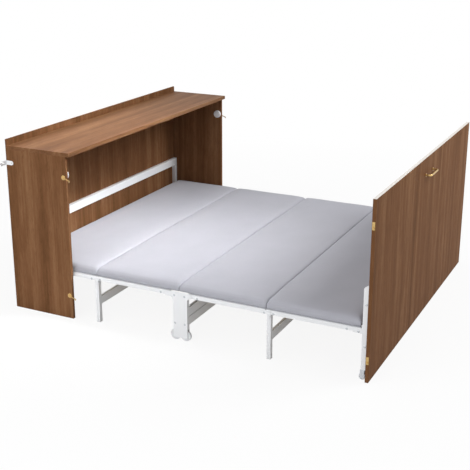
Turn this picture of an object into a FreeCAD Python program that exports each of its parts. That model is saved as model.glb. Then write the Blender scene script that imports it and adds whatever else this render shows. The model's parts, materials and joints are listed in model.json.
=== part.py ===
"""Cabinet bed: a low cabinet whose front, legs and four-part mattress roll out on wheels.

Frame: X across the cabinet, +Y towards the wall behind it, +Z up, origin at the middle of the
floor under the opened bed.  Distances "out" are measured from the wall towards the room, so
Y = wall_line - out.  The bed is drawn rolled out flat, ready to lie on.
"""
import FreeCAD, Part
import math
import os
import Sketcher

Vec = FreeCAD.Vector
doc = FreeCAD.newDocument("cabinet_bed")
sheet = doc.addObject("Spreadsheet::Sheet", "dims")

SIZES = [
    # the cabinet
    ("cabinet_width", 1860, "outside width over the two side panels"),
    ("side_thick", 18, "side panel board"),
    ("side_height", 940, "side panel from floor to its top edge"),
    ("back_thick", 12, "back board"),
    ("top_thick", 22, "top board"),
    ("top_overhang", 3, "top board in front of the closed front panel"),
    ("upstand_high", 35, "back board above the top board"),
    ("panel_thick", 18, "front panel board"),
    ("panel_floor_gap", 3, "front panel above the floor"),
    ("panel_head_gap", 2, "front panel below the top board"),
    ("close_gap", 1, "side panel front edge to the closed front panel"),
    ("edge_round", 1.5, "rounded board edges"),
    # the rolled out length
    ("open_depth", 2118, "wall to the inner face of the rolled out front panel"),
    ("bogie_mid", 1068, "wall to the middle seam over the carriage"),
    ("seam_lead_head", 4, "first seam in front of the first leg's pivot"),
    ("seam_lead_foot", 20, "last seam in front of the second leg's pivot"),
    ("seam_gap", 4, "rail end to rail end at a seam"),
    # the folded stack
    ("fold_gap", 1.5, "folded mattress to head frame and to front panel"),
    ("mid_gap", 1, "folded mattress to the middle line"),
    ("mattress_thick", 57, "cushion at its crown above the rails"),
    ("mattress_side", 30, "cushion edge to the side panel's inner face"),
    ("mattress_seam", 1, "cushion end to the seam line"),
    ("crown", 1.5, "rise of the cushion between its rounded ends"),
    # rails and decks
    ("rail_top", 272, "rail top above the floor"),
    ("rail_high", 22, "rail tube height"),
    ("rail_wide", 25, "rail tube width"),
    ("tube_wall", 1.5, "wall of the steel tubes and channels"),
    ("rail_past", 12, "rail end past a carriage or foot pivot"),
    ("head_end", 55.5, "head cushion end behind the head pivot"),
    ("foot_end", 28.5, "foot cushion end in front of the foot pivot"),
    ("cross_inset", 90, "cross channel from the rail end"),
    ("cross_wide", 25, "cross channel width"),
    ("deck_thick", 8, "deck board"),
    ("deck_side_gap", 1.7, "deck board to the inner pivot lugs"),
    ("slot_long", 180, "deck slot length"),
    ("slot_wide", 20, "deck slot width"),
    ("slot_pitch", 200, "deck slot spacing"),
    # side stack from the side panel inwards
    ("side_clear", 2.5, "side panel to the pivot plates"),
    ("arm_thick", 4, "pivot plates and arms"),
    ("arm_high", 28, "height of the pivot plates' arms"),
    ("washer_thick", 1.2, "washer between pivot plate and rail"),
    ("joint_gap", 0.3, "side clearance of every pivot"),
    ("lug_thick", 3, "pivot lugs on the rails"),
    ("lug_long", 55, "lug length along the rail"),
    ("lug_lip", 2, "lug edge below the rail top"),
    ("pin_size", 10, "pivot pin diameter"),
    ("pin_fit", 0.05, "radial clearance of the pins"),
    ("pin_head", 2, "pin head thickness"),
    ("pin_head_size", 15, "pin head diameter"),
    # legs
    ("leg_deep", 22, "leg tube along the bed"),
    ("leg_gap", 0.5, "leg tube to the rails when folded"),
    ("leg_side_gap", 0.5, "leg tube to the lugs"),
    ("leg_bar_low", 104, "leg cross channel above the floor"),
    ("leg_bar_high", 46, "leg cross channel height"),
    ("leg_bar_deep", 15, "leg cross channel along the bed"),
    ("cap_high", 6, "plastic foot below the leg tube"),
    ("cap_plug", 14, "plastic foot inside the leg tube"),
    ("cap_fit", 0.25, "plastic foot to the tube wall"),
    # carriage
    ("bogie_back", 29, "carriage column behind the middle seam"),
    ("bogie_ahead", 55, "carriage column in front of the middle seam"),
    ("bogie_floor_gap", 16, "carriage plates above the floor"),
    ("bogie_round", 25, "shoulder round of the carriage plates"),
    ("bogie_drop", 15, "carriage column below the pivots"),
    ("bogie_bar_deep", 18, "carriage cross channel along the bed"),
    ("bogie_bar_gap", 3, "folded cushion to the upper cross channel"),
    ("bogie_bar_high", 48, "upper cross channel height"),
    ("bogie_bar_split", 5, "between the two cross channels"),
    ("bogie_bar_low", 45, "lower cross channel height"),
    ("column_wall", 2, "carriage column wall"),
    ("wheel_radius", 30, "carriage wheel"),
    ("wheel_wide", 14, "carriage wheel width"),
    ("wheel_back", 20, "rear wheel behind the middle seam"),
    ("wheel_ahead", 42, "front wheel in front of the middle seam"),
    ("wheel_top_gap", 6, "carriage wheel to the column above it"),
    ("hub_radius", 14, "wheel hub"),
    ("hub_step", 0.8, "wheel face behind its hub"),
    ("axle_size", 10, "carriage axle diameter"),
    ("axle_head", 1, "axle end outside the plate"),
    # head frame
    ("frame_deep", 22, "head frame tube in front of the back board"),
    ("frame_high", 476, "head frame above the floor"),
    ("frame_post", 30, "head frame post width"),
    ("frame_bar", 50, "head frame bar height"),
    # foot frame
    ("post_wide", 21.5, "foot post width across the bed"),
    ("post_deep", 30, "foot post along the bed"),
    ("post_low", 58, "foot post above the floor"),
    ("post_high", 482, "foot post inner top edge"),
    ("post_slope", 22, "rise of its slanted top"),
    ("foot_tube_low", 150, "foot cross channel above the floor"),
    ("foot_tube_high", 30, "foot cross channel height"),
    ("foot_tube_deep", 20, "foot cross channel along the bed"),
    ("foot_tube_back", 4, "foot cross channel to the front panel"),
    ("caster_radius", 18, "foot caster wheel"),
    ("caster_wide", 10, "foot caster wheel width"),
    ("caster_lead", 23, "foot caster axle to the front panel"),
    ("caster_axle", 6, "foot caster axle diameter"),
    ("fork_plate", 3, "foot caster plate"),
    ("fork_cheek", 2, "foot caster cheeks"),
    ("fork_gap", 0.8, "foot caster wheel to its cheeks"),
    ("fork_long", 22, "foot caster cheek along the bed"),
    # fittings
    ("disc_size", 50, "stop disc diameter"),
    ("disc_thick", 15, "stop disc thickness"),
    ("disc_inset", 27, "stop disc behind the side panel's front edge"),
    ("disc_drop", 108, "stop disc centre below the side panel's top edge"),
    ("bracket_thick", 2, "wall bracket plate"),
    ("bracket_wide", 24, "wall bracket width"),
    ("bracket_side", 48, "wall bracket along the side panel"),
    ("bracket_wall", 55, "wall bracket along the wall"),
    ("bracket_drop", 75, "wall bracket centre below the side panel's top edge"),
    ("screw_hole", 5, "screw holes in brackets and plates"),
    ("handle_long", 153, "front handle length"),
    ("handle_reach", 35, "front handle in front of the panel"),
    ("handle_size", 10, "front handle bar diameter"),
    ("handle_bend", 14, "front handle bend radius"),
    ("handle_drop", 99, "front handle below the side panel's top edge"),
    ("foot_size", 20, "front handle foot diameter"),
    ("foot_thick", 3, "front handle foot thickness"),
    # latches
    ("latch_drop", 117, "upper latch pivot below the side panel's top edge"),
    ("latch_lower", 137, "lower latch pivot above the floor"),
    ("latch_inset", 18, "latch pivot behind the side panel's front edge"),
    ("latch_plate_size", 26, "latch plate edge"),
    ("latch_plate_thick", 2, "latch plate thickness"),
    ("latch_pin", 6, "latch pivot pin diameter"),
    ("hook_thick", 3, "latch hook thickness"),
    ("hook_wide", 5, "latch hook arm width"),
    ("hook_eye", 7, "latch hook eye radius"),
    ("hook_droop", 18, "angle of the resting hook below level"),
    ("hook_throw", 17, "angle from the resting to the closed hook"),
    ("hook_play", 0.5, "hook to its stud when closed"),
    ("hook_lip", 5.5, "hook lip below its arm"),
    ("stud_size", 6, "catch stud diameter"),
    ("stud_drop", 27, "catch stud below the latch pivot"),
    ("catch_wide", 14, "catch plate width"),
    ("catch_high", 40, "catch plate height"),
    ("catch_thick", 1.5, "catch plate thickness"),
    ("catch_rise", 11, "catch plate centre above its stud"),
]
for row, (alias, value, note) in enumerate(SIZES, 1):
    sheet.set("A%d" % row, alias)
    sheet.set("B%d" % row, str(value))
    sheet.set("C%d" % row, note)
    sheet.setAlias("B%d" % row, alias)
doc.recompute()


def num(text):
    """The value of an expression text, in mm or degrees."""
    return float(sheet.evalExpression(str(text)))


def neg(text):
    return "(0 - (%s))" % text


def add(*texts):
    return "(" + " + ".join("(%s)" % t for t in texts) + ")"


def sub(a, b):
    return "((%s) - (%s))" % (a, b)


def mid(a, b):
    return "(((%s) + (%s)) / 2)" % (a, b)


# levels across the bed, from the side panel inwards
OUTSIDE = "(dims.cabinet_width / 2)"
INSIDE = "(dims.cabinet_width / 2 - dims.side_thick)"
PLATE_OUT = sub(INSIDE, "dims.side_clear")
PLATE_IN = sub(PLATE_OUT, "dims.arm_thick")
RAIL_ODD = sub(PLATE_IN, "dims.washer_thick + dims.joint_gap")
RAIL_EVEN = sub(RAIL_ODD, "dims.joint_gap")
LUG_ODD = add(RAIL_ODD, "dims.lug_thick")
EVEN_IN = sub(RAIL_EVEN, "dims.rail_wide")
ODD_IN = sub(RAIL_ODD, "dims.rail_wide")
LUG_EVEN = sub(EVEN_IN, "dims.lug_thick")
LEG_OUT = sub(RAIL_ODD, "dims.leg_side_gap")
LEG_IN = add(EVEN_IN, "dims.leg_side_gap")
DECK_HALF = sub(LUG_EVEN, "dims.deck_side_gap")
MATTRESS_HALF = sub(INSIDE, "dims.mattress_side")

# heights
RAIL_LOW = "(dims.rail_top - dims.rail_high)"
DECK_LOW = "(dims.rail_top - dims.deck_thick)"
Z_A = "(dims.rail_top - dims.rail_high / 2)"
Z_B = "(dims.rail_top - dims.rail_high - dims.leg_gap - dims.leg_deep / 2)"
CUSHION_R = "(dims.mattress_thick + dims.rail_high / 2)"
TOP_LOW = "dims.side_height"
TOP_HIGH = "(dims.side_height + dims.top_thick)"
DISC_Z = "(dims.side_height - dims.disc_drop)"
BRACKET_Z = "(dims.side_height - dims.bracket_drop)"
HANDLE_Z = "(dims.side_height - dims.handle_drop)"
LATCH_UPPER = "(dims.side_height - dims.latch_drop)"

# distances out from the wall
FRAME_FRONT = "(dims.back_thick + dims.frame_deep)"
HEAD_PIVOT = add(FRAME_FRONT, "dims.fold_gap", CUSHION_R)
BOGIE_HEAD = sub("dims.bogie_mid", add("dims.mid_gap", CUSHION_R))
BOGIE_FOOT = add("dims.bogie_mid", "dims.mid_gap", CUSHION_R)
FOOT_PIVOT = sub("dims.open_depth", add("dims.fold_gap", CUSHION_R))
LEG_12 = mid(HEAD_PIVOT, BOGIE_HEAD)
LEG_34 = mid(BOGIE_FOOT, FOOT_PIVOT)
SEAM_12 = sub(LEG_12, "dims.seam_lead_head")
SEAM_34 = sub(LEG_34, "dims.seam_lead_foot")
CLOSED = add(FRAME_FRONT, "2 * dims.fold_gap + 2 * dims.mid_gap",
             "4 * (dims.mattress_thick + dims.rail_high + dims.leg_gap + dims.leg_deep / 2)")
SIDE_FRONT = sub(CLOSED, "dims.close_gap")
TOP_FRONT = add(CLOSED, "dims.panel_thick + dims.top_overhang")
PANEL_FRONT = "(dims.open_depth + dims.panel_thick)"
WALL_LINE = "((dims.open_depth + dims.panel_thick + dims.handle_reach) / 2)"
COLUMN_HEAD = "(dims.bogie_mid - dims.bogie_back)"
COLUMN_FOOT = "(dims.bogie_mid + dims.bogie_ahead)"

kept = []


def keep(obj, label):
    obj.Label = label
    kept.append(obj)
    return obj


def y_of(out):
    return "(%s - (%s))" % (WALL_LINE, out)


def box(name, x, out, z):
    """A box between two levels across, two distances out and two heights."""
    item = doc.addObject("Part::Box", name)
    item.setExpression("Length", sub(x[1], x[0]))
    item.setExpression("Width", sub(out[1], out[0]))
    item.setExpression("Height", sub(z[1], z[0]))
    item.setExpression("Placement.Base.x", x[0])
    item.setExpression("Placement.Base.y", y_of(out[1]))
    item.setExpression("Placement.Base.z", z[0])
    return item


def rod(name, x, out, z, size):
    """A round bar across the bed; size is its diameter."""
    item = doc.addObject("Part::Cylinder", name)
    item.Placement = FreeCAD.Placement(Vec(0, 0, 0), FreeCAD.Rotation(Vec(0, 1, 0), 90))
    item.setExpression("Radius", "(%s) / 2" % size)
    item.setExpression("Height", sub(x[1], x[0]))
    item.setExpression("Placement.Base.x", x[0])
    item.setExpression("Placement.Base.y", y_of(out))
    item.setExpression("Placement.Base.z", z)
    return item


def fuse(name, parts):
    item = doc.addObject("Part::MultiFuse", name)
    item.Shapes = parts
    item.Refine = True
    return item


def cut(name, base, tools):
    tool = tools[0]
    if len(tools) > 1:
        tool = doc.addObject("Part::MultiFuse", name + "_tools")
        tool.Shapes = tools
    item = doc.addObject("Part::Cut", name)
    item.Base = base
    item.Tool = tool
    item.Refine = True
    return item


def sided(side, x):
    """The same two levels on the +X side (1) or the -X side (-1)."""
    return x if side > 0 else (neg(x[1]), neg(x[0]))


SIDES = ((-1, "left"), (1, "right"))


def plane(body, role):
    return [f for f in body.Origin.OriginFeatures if f.Role == role][0]


def outline(body, name, role, points, circles=(), offset=None):
    """A closed polygon sketch on one of the body's own planes; every corner follows the sheet."""
    sketch = body.newObject("Sketcher::SketchObject", name)
    sketch.AttachmentSupport = [(plane(body, role), "")]
    sketch.MapMode = "FlatFace"
    if offset:
        sketch.setExpression("AttachmentOffset.Base.z", offset)
    spots = [Vec(num(a), num(b), 0) for a, b in points]
    count = len(spots)
    for i in range(count):
        sketch.addGeometry(Part.LineSegment(spots[i], spots[(i + 1) % count]), False)
    for i in range(count):
        sketch.addConstraint(Sketcher.Constraint("Coincident", i, 2, (i + 1) % count, 1))
    for i, (a, b) in enumerate(points):
        for kind, text, value in (("DistanceX", a, spots[i].x), ("DistanceY", b, spots[i].y)):
            k = sketch.addConstraint(Sketcher.Constraint(kind, -1, 1, i, 1, value))
            sketch.setExpression("Constraints[%d]" % k, str(text))
    for a, b, size in circles:
        centre = Vec(num(a), num(b), 0)
        g = sketch.addGeometry(Part.Circle(centre, Vec(0, 0, 1), num(size) / 2), False)
        k = sketch.addConstraint(Sketcher.Constraint("Diameter", g, num(size)))
        sketch.setExpression("Constraints[%d]" % k, str(size))
        k = sketch.addConstraint(Sketcher.Constraint("DistanceX", -1, 1, g, 3, centre.x))
        sketch.setExpression("Constraints[%d]" % k, str(a))
        k = sketch.addConstraint(Sketcher.Constraint("DistanceY", -1, 1, g, 3, centre.y))
        sketch.setExpression("Constraints[%d]" % k, str(b))
    return sketch


def pad(body, name, sketch, length):
    item = body.newObject("PartDesign::Pad", name)
    item.Profile = sketch
    item.setExpression("Length", str(length))
    doc.recompute()
    return item


def pocket(body, name, sketch, depth=None, away=False):
    item = body.newObject("PartDesign::Pocket", name)
    item.Profile = sketch
    if depth is None:
        item.Type = 1
    else:
        item.setExpression("Length", str(depth))
    item.Reversed = away
    doc.recompute()
    return item


def upright_edges(shape, spots):
    """Names of the edges along X that pass through the given (Y, Z) spots of a body."""
    found = []
    for a, b in spots:
        near = None
        for i, edge in enumerate(shape.Edges, 1):
            box_ = edge.BoundBox
            if box_.YLength > 0.01 or box_.ZLength > 0.01 or box_.XLength < 0.1:
                continue
            gap = math.hypot(box_.Center.y - a, box_.Center.z - b)
            if near is None or gap < near[0]:
                near = (gap, "Edge%d" % i)
        found.append(near[1])
    return found


def rounded(body, name, base, edges, radius):
    item = body.newObject("PartDesign::Fillet", name)
    item.Base = (base, edges)
    item.setExpression("Radius", str(radius))
    doc.recompute()
    return item


def place(body, x, y, z):
    body.setExpression("Placement.Base.x", str(x))
    body.setExpression("Placement.Base.y", str(y))
    body.setExpression("Placement.Base.z", str(z))


def board(label, x, out, z, edges):
    """A board with rounded long edges; edges picks them by their direction and place."""
    body = doc.addObject("PartDesign::Body", label)
    wide = sub(x[1], x[0])
    deep = sub(out[1], out[0])
    sketch = outline(body, label + "_outline", "XY_Plane",
                     [("0", "0"), (wide, "0"), (wide, deep), ("0", deep)])
    base = pad(body, label + "_pad", sketch, sub(z[1], z[0]))
    names = []
    for i, edge in enumerate(base.Shape.Edges, 1):
        centre = edge.BoundBox.Center
        size = edge.BoundBox
        if edges(size, centre, base.Shape.BoundBox):
            names.append("Edge%d" % i)
    rounded(body, label + "_round", base, names, "dims.edge_round")
    place(body, x[0], y_of(out[1]), z[0])
    return keep(body, label)


# ---------------------------------------------------------------- cabinet boards
def front_upright(size, centre, whole):
    return size.ZLength > 100 and centre.y < whole.Center.y


def front_along(size, centre, whole):
    return size.XLength > 100 and centre.y < whole.Center.y


def top_along(size, centre, whole):
    return size.XLength > 100 and centre.z > whole.Center.z


def panel_front(size, centre, whole):
    return (size.XLength > 100 or size.ZLength > 100) and centre.y < whole.Center.y


for side, word in SIDES:
    board("side_panel_" + word, sided(side, (INSIDE, OUTSIDE)), ("dims.back_thick", SIDE_FRONT),
          ("0", TOP_LOW), front_upright)
board("back_panel", (neg(OUTSIDE), OUTSIDE), ("0", "dims.back_thick"),
      ("0", add(TOP_HIGH, "dims.upstand_high")), top_along)
board("top_board", (neg(OUTSIDE), OUTSIDE), ("dims.back_thick", TOP_FRONT),
      (TOP_LOW, TOP_HIGH), front_along)
board("front_panel", (neg(OUTSIDE), OUTSIDE), ("dims.open_depth", PANEL_FRONT),
      ("dims.panel_floor_gap", sub(TOP_LOW, "dims.panel_head_gap")), panel_front)


# ---------------------------------------------------------------- pivot plates and pins
def arm(name, side, out, tip, square):
    """A flat arm with a round end at its pivot."""
    x = sided(side, (PLATE_IN, PLATE_OUT))
    half = "dims.arm_high / 2"
    low, high = sub(Z_A, half), add(Z_A, half)
    span = (square, tip) if out == "foot" else (tip, square)
    bar = box(name + "_bar", x, span, (low, high))
    end = rod(name + "_end", x, tip, Z_A, "dims.arm_high")
    return [bar, end]


def rail_pin(name, side, out, rail_in):
    """A pin from a pivot plate through both rail walls, with a washer and an inner head."""
    shaft = rod(name + "_shaft", sided(side, (sub(rail_in, "dims.joint_gap + dims.pin_head"), PLATE_OUT)),
                out, Z_A, "dims.pin_size")
    washer = rod(name + "_washer", sided(side, (sub(PLATE_IN, "dims.washer_thick"), PLATE_IN)),
                 out, Z_A, "dims.pin_head_size")
    head = rod(name + "_head",
               sided(side, (sub(rail_in, "dims.joint_gap + dims.pin_head"), sub(rail_in, "dims.joint_gap"))),
               out, Z_A, "dims.pin_head_size")
    return [shaft, washer, head]


def channel(name, x, out, z, open_side):
    """A folded steel channel across the bed, open below, to the head or to the foot."""
    wall = "dims.tube_wall"
    solid = box(name + "_solid", x, out, z)
    reach = "5"
    if open_side == "below":
        hollow = box(name + "_hollow", x, (add(out[0], wall), sub(out[1], wall)),
                     (sub(z[0], reach), sub(z[1], wall)))
    elif open_side == "head":
        hollow = box(name + "_hollow", x, (sub(out[0], reach), sub(out[1], wall)),
                     (add(z[0], wall), sub(z[1], wall)))
    else:
        hollow = box(name + "_hollow", x, (add(out[0], wall), add(out[1], reach)),
                     (add(z[0], wall), sub(z[1], wall)))
    return cut(name, solid, [hollow])


def tube_up(name, x, out, z, wall, top):
    """An upright square tube, open below and closed at the top by a wall."""
    solid = box(name + "_solid", x, out, z)
    hollow = box(name + "_hollow", (add(x[0], wall), sub(x[1], wall)),
                 (add(out[0], wall), sub(out[1], wall)), (sub(z[0], "5"), sub(z[1], top)))
    return cut(name, solid, [hollow])


# ---------------------------------------------------------------- head frame
pieces = []
for side, word in SIDES:
    post_x = sided(side, (sub(PLATE_OUT, "dims.frame_post"), PLATE_OUT))
    pieces.append(tube_up("head_post_" + word, post_x, ("dims.back_thick", FRAME_FRONT),
                          ("0", "dims.frame_high"), "dims.tube_wall", "dims.tube_wall"))
    pieces += arm("head_arm_" + word, side, "foot", HEAD_PIVOT, sub(FRAME_FRONT, "dims.tube_wall"))
    pieces += rail_pin("head_pin_" + word, side, HEAD_PIVOT, ODD_IN)
post_in = sub(PLATE_OUT, "dims.frame_post")
pieces.append(channel("head_bar", (neg(post_in), post_in), ("dims.back_thick", FRAME_FRONT),
                      (sub("dims.frame_high", "dims.frame_bar"), "dims.frame_high"), "head"))
keep(fuse("head_frame", pieces), "head_frame")


# ---------------------------------------------------------------- the four sections
def lug(name, side, odd, pivot):
    """The pivot lug of a section's rail over a leg: outside odd rails, inside even ones."""
    x = sided(side, (RAIL_ODD, LUG_ODD) if odd else (LUG_EVEN, EVEN_IN))
    half = "dims.leg_deep / 2"
    head, foot = sub(pivot, half), add(pivot, half)
    along = (sub(pivot, "dims.lug_long"), foot) if odd else (head, add(pivot, "dims.lug_long"))
    return [rod(name + "_eye", x, pivot, Z_B, "dims.leg_deep"),
            box(name + "_drop", x, (head, foot), (Z_B, sub("dims.rail_top", "dims.lug_lip"))),
            box(name + "_strap", x, along, (add(RAIL_LOW, "1"), sub("dims.rail_top", "dims.lug_lip")))]


def section(number, out, odd, lug_pivot, rail_pivot):
    """Two rails, two cross channels and the lugs of one section, welded together."""
    name = "section_%d" % number
    outer = RAIL_ODD if odd else RAIL_EVEN
    inner = ODD_IN if odd else EVEN_IN
    wall = "dims.tube_wall"
    parts_ = []
    holes = []
    bore = "dims.pin_size + 2 * dims.pin_fit"
    for side, word in SIDES:
        tag = "%s_%s" % (name, word)
        rail = box(tag + "_rail", sided(side, (inner, outer)), out, (RAIL_LOW, "dims.rail_top"))
        bore_box = box(tag + "_inside", sided(side, (add(inner, wall), sub(outer, wall))),
                       (sub(out[0], "5"), add(out[1], "5")), (add(RAIL_LOW, wall), sub("dims.rail_top", wall)))
        parts_.append(cut(tag + "_tube", rail, [bore_box]))
        parts_ += lug(tag + "_lug", side, odd, lug_pivot)
        holes.append(rod(tag + "_lug_hole", sided(side, (sub(LUG_EVEN, "2"), add(LUG_ODD, "2"))),
                         lug_pivot, Z_B, bore))
        holes.append(rod(tag + "_pin_hole", sided(side, (sub(inner, "2"), add(outer, "2"))),
                         rail_pivot, Z_A, bore))
    near = add(out[0], "dims.cross_inset")
    far = sub(out[1], "dims.cross_inset")
    for tag, start in (("near", near), ("far", sub(far, "dims.cross_wide"))):
        parts_.append(channel("%s_cross_%s" % (name, tag), (neg(inner), inner),
                              (start, add(start, "dims.cross_wide")), (RAIL_LOW, DECK_LOW), "below"))
    whole = fuse(name + "_welded", parts_)
    keep(cut("section_frame_%d" % number, whole, holes), "section_frame_%d" % number)


def deck(number, out):
    """The slotted board that carries a cushion, on the cross channels and between the rails."""
    label = "deck_%d" % number
    body = doc.addObject("PartDesign::Body", label)
    long_ = sub(out[1], out[0])
    half = DECK_HALF
    sketch = outline(body, label + "_outline", "XY_Plane",
                     [(neg(half), "0"), (half, "0"), (half, long_), (neg(half), long_)])
    pad(body, label + "_pad", sketch, "dims.deck_thick")
    first = "(0 - 3.5 * dims.slot_pitch)"
    x0, x1 = sub(first, "dims.slot_wide / 2"), add(first, "dims.slot_wide / 2")
    y0, y1 = sub("(%s) / 2" % long_, "dims.slot_long / 2"), add("(%s) / 2" % long_, "dims.slot_long / 2")
    slot = outline(body, label + "_slot", "XY_Plane", [(x0, y0), (x1, y0), (x1, y1), (x0, y1)])
    opened = pocket(body, label + "_slot_cut", slot, away=True)
    row = body.newObject("PartDesign::LinearPattern", label + "_slots")
    row.Originals = [opened]
    row.Direction = (slot, ["H_Axis"])
    row.setExpression("Length", "7 * dims.slot_pitch")
    row.Occurrences = 8
    body.Tip = row
    place(body, "0", y_of(out[1]), DECK_LOW)
    return keep(body, label)


def cushion(number, low, high):
    """A cushion with a crown, rounded ends and drawn-in sides, lofted through nine profiles.

    low and high are its two ends along the bed, each as (centre out, centre height, radius, end)
    of the round that runs down from the top; the ends stay inside the circle about their pivot.
    """
    zb = num("dims.rail_top")
    crown = num("dims.crown")
    half = num(MATTRESS_HALF)
    wall_y = num(WALL_LINE)
    wires = []
    stations = [(half, 21, 12), (half - 4, 13, 4), (half - 15, 6.5, 0.5), (half - 50, 2.6, 0)]
    stations = [(-x, e, b) for x, e, b in stations] + [(0, 0, 0)] + stations[::-1]
    for x, inset, lift in stations:
        def spot(out, z):
            return Vec(x, wall_y - out, z)

        ends = []
        for sign, (out, z, radius, lip) in ((-1, low), (1, high)):
            r = radius - crown - inset
            floor = zb + lift
            # the round stops a little above the bottom edge
            rise = max(floor + lip - z, 0.0)
            a = math.asin(min(rise / r, 0.9))
            foot = spot(out + sign * (r * math.cos(a) - 1.5), floor)
            side_ = spot(out + sign * r * math.cos(a), z + r * math.sin(a))
            b = (a + math.pi / 2) / 2
            bend = spot(out + sign * r * math.cos(b), z + r * math.sin(b))
            top = spot(out, z + r)
            ends.append((foot, side_, bend, top))
        (f0, s0, b0, t0), (f1, s1, b1, t1) = ends
        peak = Vec(x, (t0.y + t1.y) / 2, (t0.z + t1.z) / 2 + crown)
        wires.append(Part.Wire([
            Part.makeLine(f0, s0),
            Part.Arc(s0, b0, t0).toShape(),
            Part.Arc(t0, peak, t1).toShape(),
            Part.Arc(t1, b1, s1).toShape(),
            Part.makeLine(s1, f1),
            Part.makeLine(f1, f0)]))
    wires.sort(key=lambda w: w.BoundBox.XMin)
    item = doc.addObject("Part::Feature", "mattress_%d" % number)
    item.Shape = Part.makeLoft(wires, True, True)
    item.Placement = FreeCAD.Placement()
    return keep(item, "mattress_%d" % number)


RAIL_SPANS = [
    (sub(HEAD_PIVOT, "dims.head_end - 2"), sub(SEAM_12, "dims.seam_gap / 2")),
    (add(SEAM_12, "dims.seam_gap / 2"), add(BOGIE_HEAD, "dims.rail_past")),
    (sub(BOGIE_FOOT, "dims.rail_past"), sub(SEAM_34, "dims.seam_gap / 2")),
    (add(SEAM_34, "dims.seam_gap / 2"), add(FOOT_PIVOT, "dims.foot_end - 1")),
]
LUGS = [LEG_12, LEG_12, LEG_34, LEG_34]
PINS = [HEAD_PIVOT, BOGIE_HEAD, BOGIE_FOOT, FOOT_PIVOT]
for i in range(4):
    section(i + 1, RAIL_SPANS[i], i % 2 == 0, LUGS[i], PINS[i])
DECK_SPANS = [
    (add(RAIL_SPANS[0][0], "dims.rail_past"), sub(RAIL_SPANS[0][1], "dims.rail_past")),
    (add(RAIL_SPANS[1][0], "dims.rail_past"), BOGIE_HEAD),
    (BOGIE_FOOT, sub(RAIL_SPANS[2][1], "dims.rail_past")),
    (add(RAIL_SPANS[3][0], "dims.rail_past"), FOOT_PIVOT),
]
for i in range(4):
    deck(i + 1, DECK_SPANS[i])

# rounds of the cushion ends: (centre out, centre height, radius, height of the straight lip)
full = num(CUSHION_R)
end_r = full - 14
seam_r = full - 18
top_z = num(Z_A) + full
gap = num("dims.mattress_seam")
head_line = num(HEAD_PIVOT) - num("dims.head_end")
foot_line = num(FOOT_PIVOT) + num("dims.foot_end")
seam_12 = num(SEAM_12)
seam_34 = num(SEAM_34)
LIP = 6.0
cushion(1, (head_line + end_r, top_z - end_r, end_r, LIP), (seam_12 - gap - seam_r, top_z - seam_r, seam_r, LIP))
cushion(2, (seam_12 + gap + seam_r, top_z - seam_r, seam_r, LIP), (num(BOGIE_HEAD), num(Z_A), full, LIP))
cushion(3, (num(BOGIE_FOOT), num(Z_A), full, LIP), (seam_34 - gap - seam_r, top_z - seam_r, seam_r, LIP))
cushion(4, (seam_34 + gap + seam_r, top_z - seam_r, seam_r, LIP), (foot_line - end_r, top_z - end_r, end_r, LIP))


# ---------------------------------------------------------------- leg frames
def leg_frame(code, pivot):
    half = "dims.leg_deep / 2"
    out = (sub(pivot, half), add(pivot, half))
    parts_ = []
    for side, word in SIDES:
        tag = "leg_%s_%s" % (code, word)
        x = sided(side, (LEG_IN, LEG_OUT))
        parts_.append(tube_up(tag + "_tube", x, out, ("dims.cap_high", Z_B), "dims.tube_wall",
                              "dims.leg_deep / 2"))
        parts_.append(rod(tag + "_top", x, pivot, Z_B, "dims.leg_deep"))
        inner = sub(LUG_EVEN, "dims.joint_gap")
        outer = add(LUG_ODD, "dims.joint_gap")
        parts_.append(rod(tag + "_pin", sided(side, (sub(inner, "dims.pin_head"), add(outer, "dims.pin_head"))),
                          pivot, Z_B, "dims.pin_size"))
        parts_.append(rod(tag + "_pin_inner", sided(side, (sub(inner, "dims.pin_head"), inner)),
                          pivot, Z_B, "dims.pin_head_size"))
        parts_.append(rod(tag + "_pin_outer", sided(side, (outer, add(outer, "dims.pin_head"))),
                          pivot, Z_B, "dims.pin_head_size"))
        plug = box("cap_%s_%s_plug" % (code, word),
                   sided(side, (add(LEG_IN, "dims.tube_wall + dims.cap_fit"),
                                sub(LEG_OUT, "dims.tube_wall + dims.cap_fit"))),
                   (add(out[0], "dims.tube_wall + dims.cap_fit"), sub(out[1], "dims.tube_wall + dims.cap_fit")),
                   ("dims.cap_high - 1", "dims.cap_high + dims.cap_plug"))
        sole = box("cap_%s_%s_sole" % (code, word), x, out, ("0", "dims.cap_high"))
        keep(fuse("leg_cap_%s_%s" % (code, word), [sole, plug]), "leg_cap_%s_%s" % (code, word))
    parts_.append(channel("leg_%s_bar" % code, (neg(LEG_IN), LEG_IN), (sub(out[1], "dims.leg_bar_deep"), out[1]),
                          ("dims.leg_bar_low", "dims.leg_bar_low + dims.leg_bar_high"), "head"))
    keep(fuse("leg_frame_" + code, parts_), "leg_frame_" + code)


leg_frame("12", LEG_12)
leg_frame("34", LEG_34)


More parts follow.
